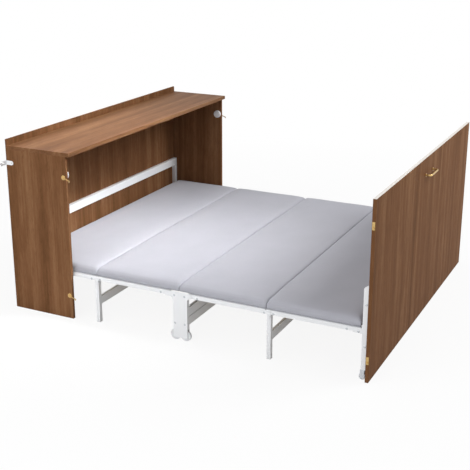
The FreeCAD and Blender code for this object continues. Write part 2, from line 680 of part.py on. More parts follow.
# ---------------------------------------------------------------- carriage
def bogie_plate(side, word):
    """The T-shaped outer plate of the carriage: a wheel plate under a bar with two pivots."""
    body = doc.addObject("PartDesign::Body", "bogie_plate_" + word)
    half = "dims.arm_high / 2"
    low, high = sub(Z_A, half), add(Z_A, half)
    head, foot = sub(BOGIE_HEAD, half), add(BOGIE_FOOT, half)
    corners = [(COLUMN_HEAD, "dims.bogie_floor_gap"), (COLUMN_FOOT, "dims.bogie_floor_gap"),
               (COLUMN_FOOT, low), (foot, low), (foot, high), (head, high), (head, low),
               (COLUMN_HEAD, low)]
    sketch = outline(body, "bogie_plate_%s_outline" % word, "YZ_Plane",
                     [(y_of(a), b) for a, b in corners])
    base = pad(body, "bogie_plate_%s_pad" % word, sketch, "dims.arm_thick")

    def pick(which, shape):
        return upright_edges(shape, [(num(y_of(corners[i][0])), num(corners[i][1])) for i in which])

    tips = rounded(body, "bogie_plate_%s_tips" % word, base, pick((3, 4, 5, 6), base.Shape),
                   "dims.arm_high / 2 - 0.1")
    neck = rounded(body, "bogie_plate_%s_neck" % word, tips, pick((7,), tips.Shape), "dims.bogie_round")
    heel = rounded(body, "bogie_plate_%s_heel" % word, neck, pick((2,), neck.Shape),
                   "dims.arm_high / 2 - 0.5")
    rounded(body, "bogie_plate_%s_foot" % word, heel, pick((0, 1), heel.Shape), "dims.pin_size")
    place(body, sided(side, (PLATE_IN, PLATE_OUT))[0], "0", "0")
    return body


pieces = []
column_low = "(2 * dims.wheel_radius + dims.wheel_top_gap)"
column_in = sub(PLATE_IN, "dims.wheel_wide + 4 * dims.joint_gap + 2 * dims.column_wall")
for side, word in SIDES:
    pieces.append(bogie_plate(side, word))
    pieces.append(tube_up("bogie_column_" + word, sided(side, (column_in, PLATE_IN)), (COLUMN_HEAD, COLUMN_FOOT),
                          (column_low, sub(Z_A, "dims.bogie_drop")), "dims.column_wall", "dims.column_wall"))
    pieces.append(box("bogie_inner_plate_" + word, sided(side, (column_in, add(column_in, "dims.column_wall"))),
                      (COLUMN_HEAD, COLUMN_FOOT), ("dims.bogie_floor_gap", column_low)))
    pieces += rail_pin("bogie_pin_head_" + word, side, BOGIE_HEAD, EVEN_IN)
    pieces += rail_pin("bogie_pin_foot_" + word, side, BOGIE_FOOT, ODD_IN)
    for tag, out in (("head", "dims.bogie_mid - dims.wheel_back"), ("foot", "dims.bogie_mid + dims.wheel_ahead")):
        pieces.append(rod("bogie_axle_%s_%s" % (tag, word),
                          sided(side, (column_in, add(PLATE_OUT, "dims.axle_head"))), out,
                          "dims.wheel_radius", "dims.axle_size"))
bar_top = sub(Z_A, add(CUSHION_R, "dims.bogie_bar_gap"))
bar_out = (sub(COLUMN_FOOT, "dims.bogie_bar_deep"), COLUMN_FOOT)
bar_x = (neg(column_in), column_in)
bar_split = sub(bar_top, "dims.bogie_bar_high")
bar_next = sub(bar_split, "dims.bogie_bar_split")
pieces.append(channel("bogie_bar_upper", bar_x, bar_out, (bar_split, bar_top), "head"))
pieces.append(channel("bogie_bar_lower", bar_x, bar_out, (sub(bar_next, "dims.bogie_bar_low"), bar_next), "head"))
keep(fuse("bogie_frame", pieces), "bogie_frame")


def wheel(label, x_mid, out, radius, wide, axle):
    """A turned wheel: crowned tread, recessed web and a hub with the axle bore."""
    body = doc.addObject("PartDesign::Body", label)
    half = "(%s) / 2" % wide
    bore = "(%s) / 2 + dims.pin_fit" % axle
    hub = "dims.hub_radius * (%s) / dims.wheel_radius" % radius
    rim = "(%s) - 1.2" % radius
    web = sub(half, "dims.hub_step")
    deep = sub(half, "2.5 * dims.hub_step")
    inner_rim = "(%s) * 0.78" % radius
    points = [(neg(half), bore), (half, bore), (half, hub), (deep, hub), (deep, inner_rim), (web, inner_rim),
              (web, rim), (sub(web, "1.2"), radius), (neg(sub(web, "1.2")), radius), (neg(web), rim),
              (neg(web), inner_rim), (neg(deep), inner_rim), (neg(deep), hub), (neg(half), hub)]
    sketch = outline(body, label + "_profile", "XY_Plane", points)
    turn = body.newObject("PartDesign::Revolution", label + "_turned")
    turn.Profile = sketch
    turn.ReferenceAxis = (sketch, ["H_Axis"])
    turn.Angle = 360
    place(body, x_mid, y_of(out), radius)
    return keep(body, label)


wheel_mid = sub(PLATE_IN, "2 * dims.joint_gap + dims.wheel_wide / 2")
for side, word in SIDES:
    x_mid = wheel_mid if side > 0 else neg(wheel_mid)
    wheel("bogie_wheel_%s_head" % word, x_mid, "dims.bogie_mid - dims.wheel_back",
          "dims.wheel_radius", "dims.wheel_wide", "dims.axle_size")
    wheel("bogie_wheel_%s_foot" % word, x_mid, "dims.bogie_mid + dims.wheel_ahead",
          "dims.wheel_radius", "dims.wheel_wide", "dims.axle_size")


# ---------------------------------------------------------------- foot frame and casters
post_in = sub(PLATE_OUT, "dims.post_wide")
post_out = ("dims.open_depth - dims.post_deep", "dims.open_depth")
caster_out = "dims.open_depth - dims.caster_lead"
pieces = []
for side, word in SIDES:
    body = doc.addObject("PartDesign::Body", "foot_post_" + word)
    corners = [(post_out[0], "dims.post_low"), (post_out[1], "dims.post_low"),
               (post_out[1], "dims.post_high + dims.post_slope"), (post_out[0], "dims.post_high")]
    sketch = outline(body, "foot_post_%s_outline" % word, "YZ_Plane", [(y_of(a), b) for a, b in corners])
    pad(body, "foot_post_%s_pad" % word, sketch, "dims.post_wide")
    post_x = sided(side, (post_in, PLATE_OUT))
    place(body, post_x[0], "0", "0")
    wall = "dims.column_wall"
    inside = box("foot_post_%s_inside" % word, (add(post_x[0], wall), sub(post_x[1], wall)),
                 (add(post_out[0], wall), sub(post_out[1], wall)),
                 ("dims.post_low - 5", "dims.post_high - dims.column_wall"))
    pieces.append(cut("foot_post_%s_tube" % word, body, [inside]))
    pieces += arm("foot_arm_" + word, side, "head", FOOT_PIVOT, add(post_out[0], wall))
    pieces += rail_pin("foot_pin_" + word, side, FOOT_PIVOT, EVEN_IN)
tube_foot = "dims.open_depth - dims.foot_tube_back"
pieces.append(channel("foot_tube", (neg(post_in), post_in), (sub(tube_foot, "dims.foot_tube_deep"), tube_foot),
                      ("dims.foot_tube_low", "dims.foot_tube_low + dims.foot_tube_high"), "head"))
keep(fuse("foot_frame", pieces), "foot_frame")

caster_mid = mid(post_in, PLATE_OUT)
for side, word in SIDES:
    centre = caster_mid if side > 0 else neg(caster_mid)
    half = "dims.caster_wide / 2 + dims.fork_gap"
    plate = box("caster_plate_" + word, sided(side, (post_in, PLATE_OUT)), post_out,
                (sub("dims.post_low", "dims.fork_plate"), "dims.post_low"))
    parts_ = [plate]
    for tag, x in (("a", (sub(centre, add(half, "dims.fork_cheek")), sub(centre, half))),
                   ("b", (add(centre, half), add(centre, half, "dims.fork_cheek")))):
        cheek = (sub(caster_out, "dims.fork_long / 2"), add(caster_out, "dims.fork_long / 2"))
        parts_.append(box("caster_cheek_%s_%s" % (tag, word), x, cheek,
                          ("dims.caster_radius", sub("dims.post_low", "dims.fork_plate"))))
        parts_.append(rod("caster_eye_%s_%s" % (tag, word), x, caster_out, "dims.caster_radius", "dims.fork_long"))
    parts_.append(rod("caster_axle_" + word,
                      (sub(centre, add(half, "dims.fork_cheek + 1")), add(centre, half, "dims.fork_cheek + 1")),
                      caster_out, "dims.caster_radius", "dims.caster_axle"))
    keep(fuse("caster_fork_" + word, parts_), "caster_fork_" + word)
    wheel("caster_wheel_" + word, centre, caster_out, "dims.caster_radius", "dims.caster_wide",
          "dims.caster_axle")

# ---------------------------------------------------------------- stop discs and wall brackets
for side, word in SIDES:
    label = "disc_" + word
    body = doc.addObject("PartDesign::Body", label)
    face = body.newObject("Sketcher::SketchObject", label + "_face")
    face.AttachmentSupport = [(plane(body, "YZ_Plane"), "")]
    face.MapMode = "FlatFace"
    face.addGeometry(Part.Circle(Vec(0, 0, 0), Vec(0, 0, 1), 25), False)
    face.addConstraint(Sketcher.Constraint("Coincident", 0, 3, -1, 1))
    k = face.addConstraint(Sketcher.Constraint("Diameter", 0, 50))
    face.setExpression("Constraints[%d]" % k, "dims.disc_size")
    base = pad(body, label + "_pad", face, "dims.disc_thick")
    inner_end = 0 if side > 0 else num("dims.disc_thick")
    rims = ["Edge%d" % i for i, e in enumerate(base.Shape.Edges, 1)
            if e.BoundBox.XLength < 0.01 and abs(e.BoundBox.Center.x - inner_end) < 0.01]
    rounded(body, label + "_round", base, rims, "dims.disc_thick / 5")
    place(body, sided(side, (sub(INSIDE, "dims.disc_thick"), INSIDE))[0],
          y_of(sub(SIDE_FRONT, "dims.disc_inset")), DISC_Z)
    keep(body, label)

    label = "wall_bracket_" + word
    half = "dims.bracket_wide / 2"
    z = (sub(BRACKET_Z, half), add(BRACKET_Z, half))
    skin = (OUTSIDE, add(OUTSIDE, "dims.bracket_thick"))
    side_flat = box(label + "_side", sided(side, skin), ("0", sub("dims.bracket_side", half)), z)
    side_end = rod(label + "_side_end", sided(side, skin), sub("dims.bracket_side", half),
                   BRACKET_Z, "dims.bracket_wide")
    wall_x = (OUTSIDE, add(OUTSIDE, sub("dims.bracket_wall", half)))
    wall_flat = box(label + "_wall", sided(side, wall_x), ("0", "dims.bracket_thick"), z)
    wall_end = doc.addObject("Part::Cylinder", label + "_wall_end")
    wall_end.Placement = FreeCAD.Placement(Vec(0, 0, 0), FreeCAD.Rotation(Vec(1, 0, 0), -90))
    wall_end.setExpression("Radius", half)
    wall_end.setExpression("Height", "dims.bracket_thick")
    wall_end.setExpression("Placement.Base.x", wall_x[1] if side > 0 else neg(wall_x[1]))
    wall_end.setExpression("Placement.Base.y", y_of("dims.bracket_thick"))
    wall_end.setExpression("Placement.Base.z", BRACKET_Z)
    hole = rod(label + "_side_hole", sided(side, (sub(OUTSIDE, "2"), add(OUTSIDE, "dims.bracket_thick + 2"))),
               sub("dims.bracket_side", half), BRACKET_Z, "dims.screw_hole")
    wall_hole = doc.addObject("Part::Cylinder", label + "_wall_hole")
    wall_hole.Placement = FreeCAD.Placement(Vec(0, 0, 0), FreeCAD.Rotation(Vec(1, 0, 0), -90))
    wall_hole.setExpression("Radius", "dims.screw_hole / 2")
    wall_hole.setExpression("Height", "dims.bracket_thick + 4")
    wall_hole.setExpression("Placement.Base.x", wall_x[1] if side > 0 else neg(wall_x[1]))
    wall_hole.setExpression("Placement.Base.y", y_of("dims.bracket_thick + 2"))
    wall_hole.setExpression("Placement.Base.z", BRACKET_Z)
    solid = fuse(label + "_solid", [side_flat, side_end, wall_flat, wall_end])
    keep(cut(label, solid, [hole, wall_hole]), label)

# ---------------------------------------------------------------- front handle
body = doc.addObject("PartDesign::Body", "handle_bow")
reach = "(dims.handle_reach - dims.handle_size / 2)"
half_long = "(dims.handle_long / 2 - dims.handle_size / 2)"
bend = "dims.handle_bend"
r = num(bend)
h = num(half_long)
q = num(reach)
path = body.newObject("Sketcher::SketchObject", "handle_path")
path.AttachmentSupport = [(plane(body, "XY_Plane"), "")]
path.MapMode = "FlatFace"
path.addGeometry(Part.LineSegment(Vec(-h, 0, 0), Vec(-h, r - q, 0)), False)
path.addGeometry(Part.Arc(Vec(-h, r - q, 0), Vec(-h + r * (1 - math.cos(math.pi / 4)),
                 r - q - r * math.sin(math.pi / 4), 0), Vec(-h + r, -q, 0)), False)
path.addGeometry(Part.LineSegment(Vec(-h + r, -q, 0), Vec(h - r, -q, 0)), False)
path.addGeometry(Part.Arc(Vec(h - r, -q, 0), Vec(h - r * (1 - math.cos(math.pi / 4)),
                 r - q - r * math.sin(math.pi / 4), 0), Vec(h, r - q, 0)), False)
path.addGeometry(Part.LineSegment(Vec(h, r - q, 0), Vec(h, 0, 0)), False)
# both bends are drawn counterclockwise: their starts are at the legs' and at the bar's end
path.addConstraint(Sketcher.Constraint("Tangent", 0, 2, 1, 1))
path.addConstraint(Sketcher.Constraint("Tangent", 1, 2, 2, 1))
path.addConstraint(Sketcher.Constraint("Tangent", 2, 2, 3, 1))
path.addConstraint(Sketcher.Constraint("Tangent", 3, 2, 4, 1))
path.addConstraint(Sketcher.Constraint("Vertical", 0))
path.addConstraint(Sketcher.Constraint("Vertical", 4))
path.addConstraint(Sketcher.Constraint("Equal", 1, 3))
path.addConstraint(Sketcher.Constraint("PointOnObject", 0, 1, -1))
path.addConstraint(Sketcher.Constraint("PointOnObject", 4, 2, -1))
for spot, text, value in (((-1, 1, 4, 2), half_long, h), ((0, 1, -1, 1), half_long, h)):
    k = path.addConstraint(Sketcher.Constraint("DistanceX", *spot, value))
    path.setExpression("Constraints[%d]" % k, text)
k = path.addConstraint(Sketcher.Constraint("Radius", 1, r))
path.setExpression("Constraints[%d]" % k, bend)
k = path.addConstraint(Sketcher.Constraint("DistanceY", 2, 1, -1, 1, q))
path.setExpression("Constraints[%d]" % k, reach)
ring = body.newObject("Sketcher::SketchObject", "handle_ring")
ring.AttachmentSupport = [(plane(body, "XZ_Plane"), "")]
ring.MapMode = "FlatFace"
ring.addGeometry(Part.Circle(Vec(-h, 0, 0), Vec(0, 0, 1), 5), False)
k = ring.addConstraint(Sketcher.Constraint("Diameter", 0, num("dims.handle_size")))
ring.setExpression("Constraints[%d]" % k, "dims.handle_size")
k = ring.addConstraint(Sketcher.Constraint("DistanceX", 0, 3, -1, 1, h))
ring.setExpression("Constraints[%d]" % k, half_long)
ring.addConstraint(Sketcher.Constraint("PointOnObject", 0, 3, -1))
bow = body.newObject("PartDesign::AdditivePipe", "handle_pipe")
bow.Profile = ring
bow.Spine = path
doc.recompute()
place(body, "0", y_of(PANEL_FRONT), HANDLE_Z)
pieces = [body]
for side, word in SIDES:
    foot = doc.addObject("Part::Cylinder", "handle_foot_" + word)
    foot.Placement = FreeCAD.Placement(Vec(0, 0, 0), FreeCAD.Rotation(Vec(1, 0, 0), 90))
    foot.setExpression("Radius", "dims.foot_size / 2")
    foot.setExpression("Height", "dims.foot_thick")
    foot.setExpression("Placement.Base.x", half_long if side > 0 else neg(half_long))
    foot.setExpression("Placement.Base.y", y_of(PANEL_FRONT))
    foot.setExpression("Placement.Base.z", HANDLE_Z)
    pieces.append(foot)
keep(fuse("handle", pieces), "handle")


# ---------------------------------------------------------------- latches
def latch(side, word, level, height):
    """A plate with its pivot pin on the side panel, a hook on the pin and a catch on the front panel."""
    pivot_out = sub(SIDE_FRONT, "dims.latch_inset")
    half = "dims.latch_plate_size / 2"
    tag = "%s_%s" % (word, level)
    plate_top = add(OUTSIDE, "dims.latch_plate_thick")
    hook_x = (add(plate_top, "dims.joint_gap"), add(plate_top, "dims.joint_gap + dims.hook_thick"))
    head_x = (add(hook_x[1], "dims.joint_gap"), add(hook_x[1], "dims.joint_gap + dims.catch_thick"))
    plate = box("latch_plate_base_" + tag, sided(side, (OUTSIDE, plate_top)),
                (sub(pivot_out, half), add(pivot_out, half)), (sub(height, half), add(height, half)))
    pin = rod("latch_plate_pin_" + tag, sided(side, (OUTSIDE, head_x[1])), pivot_out, height, "dims.latch_pin")
    head = rod("latch_plate_head_" + tag, sided(side, head_x), pivot_out, height, "dims.latch_pin * 1.7")
    keep(fuse("latch_plate_" + tag, [plate, pin, head]), "latch_plate_" + tag)

    # the hook, drawn with its arm level towards the room; the stud lies below the arm
    ahead = sub(add(CLOSED, "dims.panel_thick / 2"), pivot_out)
    reach_ = "sqrt((%s) ^ 2 + dims.stud_drop ^ 2)" % ahead
    arm_low = "dims.hook_wide / 2"
    below = add(arm_low, "dims.hook_play + dims.stud_size / 2")
    along = "sqrt((%s) ^ 2 - (%s) ^ 2)" % (reach_, below)
    lip_in = add(along, "dims.stud_size / 2 + dims.hook_play")
    lip_out = add(lip_in, "dims.hook_wide * 0.8")
    body_ = doc.addObject("PartDesign::Body", "latch_hook_" + tag)
    eye = "dims.hook_eye"
    corners = [("0", neg(arm_low)), (neg(lip_in), neg(arm_low)),
               (neg(lip_in), neg(add(arm_low, "dims.hook_lip"))),
               (neg(lip_out), neg(add(arm_low, "dims.hook_lip"))), (neg(lip_out), arm_low), ("0", arm_low)]
    bar_sketch = outline(body_, "latch_hook_%s_arm" % tag, "YZ_Plane", corners)
    bar = pad(body_, "latch_hook_%s_bar" % tag, bar_sketch, "dims.hook_thick")
    tip = upright_edges(bar.Shape, [(-num(lip_out), num(arm_low)),
                                    (-num(lip_out), -num(arm_low) - num("dims.hook_lip"))])
    rounded(body_, "latch_hook_%s_tip" % tag, bar, tip, "dims.hook_wide * 0.35")
    ring_ = body_.newObject("Sketcher::SketchObject", "latch_hook_%s_eye" % tag)
    ring_.AttachmentSupport = [(plane(body_, "YZ_Plane"), "")]
    ring_.MapMode = "FlatFace"
    ring_.addGeometry(Part.Circle(Vec(0, 0, 0), Vec(0, 0, 1), 7), False)
    ring_.addConstraint(Sketcher.Constraint("Coincident", 0, 3, -1, 1))
    k_ = ring_.addConstraint(Sketcher.Constraint("Radius", 0, 7))
    ring_.setExpression("Constraints[%d]" % k_, eye)
    pad(body_, "latch_hook_%s_ring" % tag, ring_, "dims.hook_thick")
    bore_ = body_.newObject("Sketcher::SketchObject", "latch_hook_%s_bore" % tag)
    bore_.AttachmentSupport = [(plane(body_, "YZ_Plane"), "")]
    bore_.MapMode = "FlatFace"
    bore_.addGeometry(Part.Circle(Vec(0, 0, 0), Vec(0, 0, 1), 3), False)
    bore_.addConstraint(Sketcher.Constraint("Coincident", 0, 3, -1, 1))
    k_ = bore_.addConstraint(Sketcher.Constraint("Diameter", 0, 6))
    bore_.setExpression("Constraints[%d]" % k_, "dims.latch_pin + 2 * dims.pin_fit")
    pocket(body_, "latch_hook_%s_hole" % tag, bore_, away=True)
    body_.Placement = FreeCAD.Placement(Vec(0, 0, 0), FreeCAD.Rotation(Vec(1, 0, 0), 10))
    body_.setExpression("Placement.Rotation.Angle", "dims.hook_droop")
    place(body_, sided(side, hook_x)[0], y_of(pivot_out), height)
    keep(body_, "latch_hook_" + tag)

    stud_z = sub(height, "dims.stud_drop")
    stud_out = "dims.open_depth + dims.panel_thick / 2"
    catch_mid = add(stud_z, "dims.catch_rise")
    catch_top = add(OUTSIDE, "dims.catch_thick")
    wide = "dims.catch_wide / 2"
    base_ = box("catch_base_" + tag, sided(side, (OUTSIDE, catch_top)), (sub(stud_out, wide), add(stud_out, wide)),
                (sub(catch_mid, "dims.catch_high / 2"), add(catch_mid, "dims.catch_high / 2")))
    stud = rod("catch_stud_" + tag, sided(side, (OUTSIDE, head_x[1])), stud_out, stud_z, "dims.stud_size")
    knob = rod("catch_knob_" + tag, sided(side, head_x), stud_out, stud_z, "dims.stud_size * 1.5")
    solid_ = fuse("catch_solid_" + tag, [base_, stud, knob])
    screw = rod("catch_hole_" + tag, sided(side, (sub(OUTSIDE, "2"), add(catch_top, "2"))), stud_out,
                add(stud_z, "2 * dims.catch_rise"), "dims.screw_hole")
    keep(cut("catch_" + tag, solid_, [screw]), "catch_" + tag)


for side, word in SIDES:
    latch(side, word, "top", LATCH_UPPER)
    latch(side, word, "bottom", "dims.latch_lower")

# ---------------------------------------------------------------- checks and files
doc.recompute()
for item in doc.Objects:
    state = [s for s in item.State if s in ("Invalid", "Error")]
    if state:
        raise RuntimeError("%s is %s" % (item.Name, state))
total = 0
for item in kept:
    shape = item.Shape
    if shape.isNull() or not shape.isValid() or len(shape.Solids) != 1:
        raise RuntimeError("%s has no single valid solid (%d)" % (item.Label, len(shape.Solids)))
    total += shape.Volume
if len(set(item.Label for item in kept)) != len(kept) or len(kept) > 60:
    raise RuntimeError("labels of the sub-parts must be their own, and at most 60")

os.makedirs("parts", exist_ok=True)
for item in kept:
    item.Shape.exportStep("parts/%s.step" % item.Label)
whole = FreeCAD.BoundBox()
for item in kept:
    whole.add(item.Shape.BoundBox)
print("sub-parts: %d, volume %.4f m3" % (len(kept), total / 1e9))
print("box X %.1f..%.1f  Y %.1f..%.1f  Z %.1f..%.1f" % (
    whole.XMin, whole.XMax, whole.YMin, whole.YMax, whole.ZMin, whole.ZMax))
for word, text in (("wall line", WALL_LINE), ("head pivot", HEAD_PIVOT), ("leg 12", LEG_12),
                   ("carriage head", BOGIE_HEAD), ("carriage foot", BOGIE_FOOT), ("leg 34", LEG_34),
                   ("foot pivot", FOOT_PIVOT), ("closed depth", CLOSED), ("side depth", SIDE_FRONT),
                   ("rail pivots", Z_A), ("leg pivots", Z_B)):
    print("%-14s %.3f" % (word, num(text)))
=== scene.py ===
"""Cabinet bed, rolled out: looks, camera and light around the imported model."""
import json
import math

import bmesh
import bpy
from bpy.props import FloatProperty, FloatVectorProperty, IntProperty, PointerProperty
from bpy.types import Operator, Panel, PropertyGroup
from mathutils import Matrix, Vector


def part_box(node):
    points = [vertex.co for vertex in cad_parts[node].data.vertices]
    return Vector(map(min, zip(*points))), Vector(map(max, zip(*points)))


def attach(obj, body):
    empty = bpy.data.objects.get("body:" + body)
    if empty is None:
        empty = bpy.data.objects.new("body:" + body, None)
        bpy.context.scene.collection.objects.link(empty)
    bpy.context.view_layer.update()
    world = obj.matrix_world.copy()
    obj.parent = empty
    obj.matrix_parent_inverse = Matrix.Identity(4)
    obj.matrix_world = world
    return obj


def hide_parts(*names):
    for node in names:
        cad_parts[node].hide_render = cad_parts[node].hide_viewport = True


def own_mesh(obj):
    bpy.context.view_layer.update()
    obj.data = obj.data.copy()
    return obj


bl_info = {
    "name": "Cabinet bed",
    "version": (1, 0, 0),
    "blender": (4, 5, 0),
    "location": "3D View > Sidebar > Cabinet bed",
    "description": "Finishes, cushions and fittings of a cabinet bed that rolls out on wheels",
    "category": "Object",
}

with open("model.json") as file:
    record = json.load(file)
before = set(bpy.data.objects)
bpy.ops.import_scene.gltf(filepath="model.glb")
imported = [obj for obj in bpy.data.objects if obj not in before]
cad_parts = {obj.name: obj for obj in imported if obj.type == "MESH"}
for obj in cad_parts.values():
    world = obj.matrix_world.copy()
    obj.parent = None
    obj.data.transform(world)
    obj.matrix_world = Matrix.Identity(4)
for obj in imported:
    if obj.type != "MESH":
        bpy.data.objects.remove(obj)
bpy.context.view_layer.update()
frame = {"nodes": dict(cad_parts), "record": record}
NODES = frame["nodes"]
WALL_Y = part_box("back_panel")[1].y
MM = 0.001
PIN = 0.006  # diameter of the pin that a latch hook turns on
LEAF_WIDTH = 0.21  # width of one leaf of veneer
BOLT_RISE = 0.0018  # height of a bolt head
SCREW_RISE = 0.0012  # height of a screw head
FLUSH_RISE = 0.0002  # height of a countersunk latch screw's head
CATCH_RISE = 0.0004  # height of a countersunk catch screw's head
CLOTH_FRAMES = 20  # length of the cover's cloth run
COVER_PRESSURE = 4.0  # air pressure that swells the cover


# ------------------------------------------------------------------ small helpers
def linear(code):
    """A written sRGB colour such as #7A5A40 as linear red, green and blue."""
    parts = [int(code[i:i + 2], 16) / 255 for i in (1, 3, 5)]
    return tuple(c / 12.92 if c <= 0.04045 else ((c + 0.055) / 1.055) ** 2.4 for c in parts)


def add(tree, kind, settings=None, links=None):
    """Adds a node, sets its properties and sockets, and links sockets to other nodes' outputs."""
    node = tree.nodes.new(kind)
    for key, value in (settings or {}).items():
        if isinstance(key, str) and hasattr(node, key):
            setattr(node, key, value)
        else:
            node.inputs[key].default_value = value
    for key, source in (links or {}).items():
        tree.links.new(source, node.inputs[key])
    return node


def ramp(tree, source, stops):
    """A colour ramp over a value; stops are (place, linear colour or grey)."""
    node = add(tree, "ShaderNodeValToRGB", links={"Fac": source})
    cells = node.color_ramp.elements
    while len(cells) < len(stops):
        cells.new(0.5)
    for cell, (place, colour) in zip(cells, stops):
        cell.position = place
        rgb = (colour,) * 3 if isinstance(colour, (int, float)) else tuple(colour)
        cell.color = (*rgb[:3], 1)
    return node.outputs["Color"]


def new_material(name, **surface):
    """A material with its Principled surface set; returns it with its tree, surface and coordinates."""
    material = bpy.data.materials.new(name)
    material.use_nodes = True
    tree = material.node_tree
    shader = tree.nodes["Principled BSDF"]
    for key, value in surface.items():
        label = key.replace("_", " ")
        shader.inputs[label].default_value = (*value, 1) if isinstance(value, tuple) else value
    place = add(tree, "ShaderNodeTexCoord").outputs["Object"]
    return material, tree, shader, place


def stretched(tree, place, size):
    """Coordinates divided by a real size in metres along each axis."""
    node = add(tree, "ShaderNodeMapping", {"vector_type": "POINT"}, {"Vector": place})
    node.inputs["Scale"].default_value = tuple(1 / s for s in size)
    return node.outputs["Vector"]


def noise(tree, vector, detail=3.0, rough=0.5, distort=0.0):
    return add(tree, "ShaderNodeTexNoise", {"Scale": 1.0, "Detail": detail, "Roughness": rough,
                                            "Distortion": distort}, {"Vector": vector}).outputs["Fac"]


def mix(tree, factor, a, b, blend="MIX"):
    """Mixes two colours; each of factor, a and b is a value or an output."""
    node = add(tree, "ShaderNodeMix", {"data_type": "RGBA", "blend_type": blend})
    for index, value in ((0, factor), (6, a), (7, b)):
        if isinstance(value, bpy.types.NodeSocket):
            tree.links.new(value, node.inputs[index])
        elif index == 0:
            node.inputs[index].default_value = value
        else:
            node.inputs[index].default_value = (*tuple(value)[:3], 1)
    return node.outputs[2]


def bump(tree, shader, height, distance, strength=1.0):
    """Adds a bump of a real depth in metres to a surface."""
    node = add(tree, "ShaderNodeBump", {"Strength": strength, "Distance": distance}, {"Height": height})
    tree.links.new(node.outputs["Normal"], shader.inputs["Normal"])


def finish(material, *names):
    """Gives CAD nodes a finish."""
    for name in names:
        for slot in NODES[name].material_slots:
            slot.material = material


def link(mesh, name, material=None):
    obj = bpy.data.objects.new(name, mesh)
    bpy.context.scene.collection.objects.link(obj)
    if material:
        mesh.materials.clear()
        mesh.materials.append(material)
    return obj


def closed(mesh, name):
    """A finished bmesh as mesh data, with its faces pointing outwards."""
    bmesh.ops.recalc_face_normals(mesh, faces=mesh.faces)
    data = bpy.data.meshes.new(name)
    mesh.to_mesh(data)
    mesh.free()
    return data


def baked(obj, name):
    """The evaluated object as a plain mesh without modifiers."""
    graph = bpy.context.evaluated_depsgraph_get()
    mesh = bpy.data.meshes.new_from_object(obj.evaluated_get(graph))
    mesh.name = name
    return mesh


def smooth(mesh, angle=math.radians(40)):
    mesh.shade_smooth()
    mesh.set_sharp_from_angle(angle=angle)


# ------------------------------------------------------------------ settings
class BedFinishes(PropertyGroup):
    """Colours of the cabinet, the frame and the cushions."""
    walnut: FloatVectorProperty(name="Walnut", description="Main colour of the walnut veneer",
                                subtype="COLOR", default=linear("#734F35"), min=0, max=1)
    walnut_dark: FloatVectorProperty(name="Walnut grain", description="Dark grain lines of the veneer",
                                     subtype="COLOR", default=linear("#593D27"), min=0, max=1)
    walnut_light: FloatVectorProperty(name="Walnut sapwood", description="Pale streaks of the veneer",
                                      subtype="COLOR", default=linear("#8D694B"), min=0, max=1)
    # painted highlight: a pale colour painted on the front panel's top edge, standing for a lamp's reflection
    # there
    edge: FloatVectorProperty(name="Edge strip", description="Pale strip on the front panel's top edge",
                              subtype="COLOR", default=linear("#DDD8D2"), min=0, max=1)
    powder: FloatVectorProperty(name="Powder coat", description="White powder coat of the steel frame",
                                subtype="COLOR", default=linear("#EEEFF1"), min=0, max=1)
    ticking: FloatVectorProperty(name="Ticking", description="Pale grey cover of the cushions",
                                 subtype="COLOR", default=linear("#B1B1B9"), min=0, max=1)
    brass: FloatVectorProperty(name="Brass", description="Satin brass of the fittings",
                               subtype="COLOR", default=linear("#CFAF74"), min=0, max=1)
    nylon: FloatVectorProperty(name="Nylon", description="Pale nylon of wheels, feet and discs",
                               subtype="COLOR", default=linear("#E4E5E6"), min=0, max=1)


class BedSizes(PropertyGroup):
    """Sizes of the pieces that only the finished bed shows."""
    overhang: FloatProperty(name="Cushion overhang",
                            description="How far a cushion bulges over its steel rail",
                            default=0.020, min=0.0, max=0.022, unit="LENGTH", subtype="DISTANCE")
    shoulder: FloatProperty(name="Cushion shoulder", description="Round of a cushion's long side edges",
                            default=0.027, min=0.01, max=0.05, unit="LENGTH", subtype="DISTANCE")
    seam: FloatProperty(name="Cushion seam", description="Round of a cushion's edges where two cushions meet",
                        default=0.019, min=0.01, max=0.05, unit="LENGTH", subtype="DISTANCE")
    roll: FloatProperty(name="Cushion roll",
                        description="Round of the two cushion ends that roll past each other",
                        default=0.024, min=0.01, max=0.05, unit="LENGTH", subtype="DISTANCE")
    end: FloatProperty(name="Cushion end", description="Round of the mattress's head and foot ends",
                       default=0.034, min=0.01, max=0.05, unit="LENGTH", subtype="DISTANCE")
    corner: FloatProperty(name="Cushion corner", description="Round of a cushion's upright corners",
                          default=0.004, min=0.001, max=0.05, unit="LENGTH", subtype="DISTANCE")
    voxel: FloatProperty(name="Cloth grid", description="Grid of the cushions' simulated cover",
                         default=0.0095, min=0.004, max=0.02, unit="LENGTH", subtype="DISTANCE")
    swell: FloatProperty(name="Cloth cap", description="How far the cover may swell",
                         default=0.006, min=0.0, max=0.03, unit="LENGTH", subtype="DISTANCE")
    bolt: FloatProperty(name="Bolt head", description="Radius of the frame's bolt heads",
                        default=0.0065, min=0.002, max=0.01, unit="LENGTH", subtype="DISTANCE")
    screw: FloatProperty(name="Screw head", description="Radius of the fittings' screw heads",
                         default=0.0036, min=0.001, max=0.006, unit="LENGTH", subtype="DISTANCE")
    sides: IntProperty(name="Head sides", description="Sides of a screw head's circle",
                       default=20, min=8, max=48)


# ------------------------------------------------------------------ finishes
def scaled(tree, value, factor, shift=0.0):
    """A value times a factor, plus a shift."""
    return add(tree, "ShaderNodeMath", {"operation": "MULTIPLY_ADD", 1: factor, 2: shift},
               {0: value}).outputs[0]


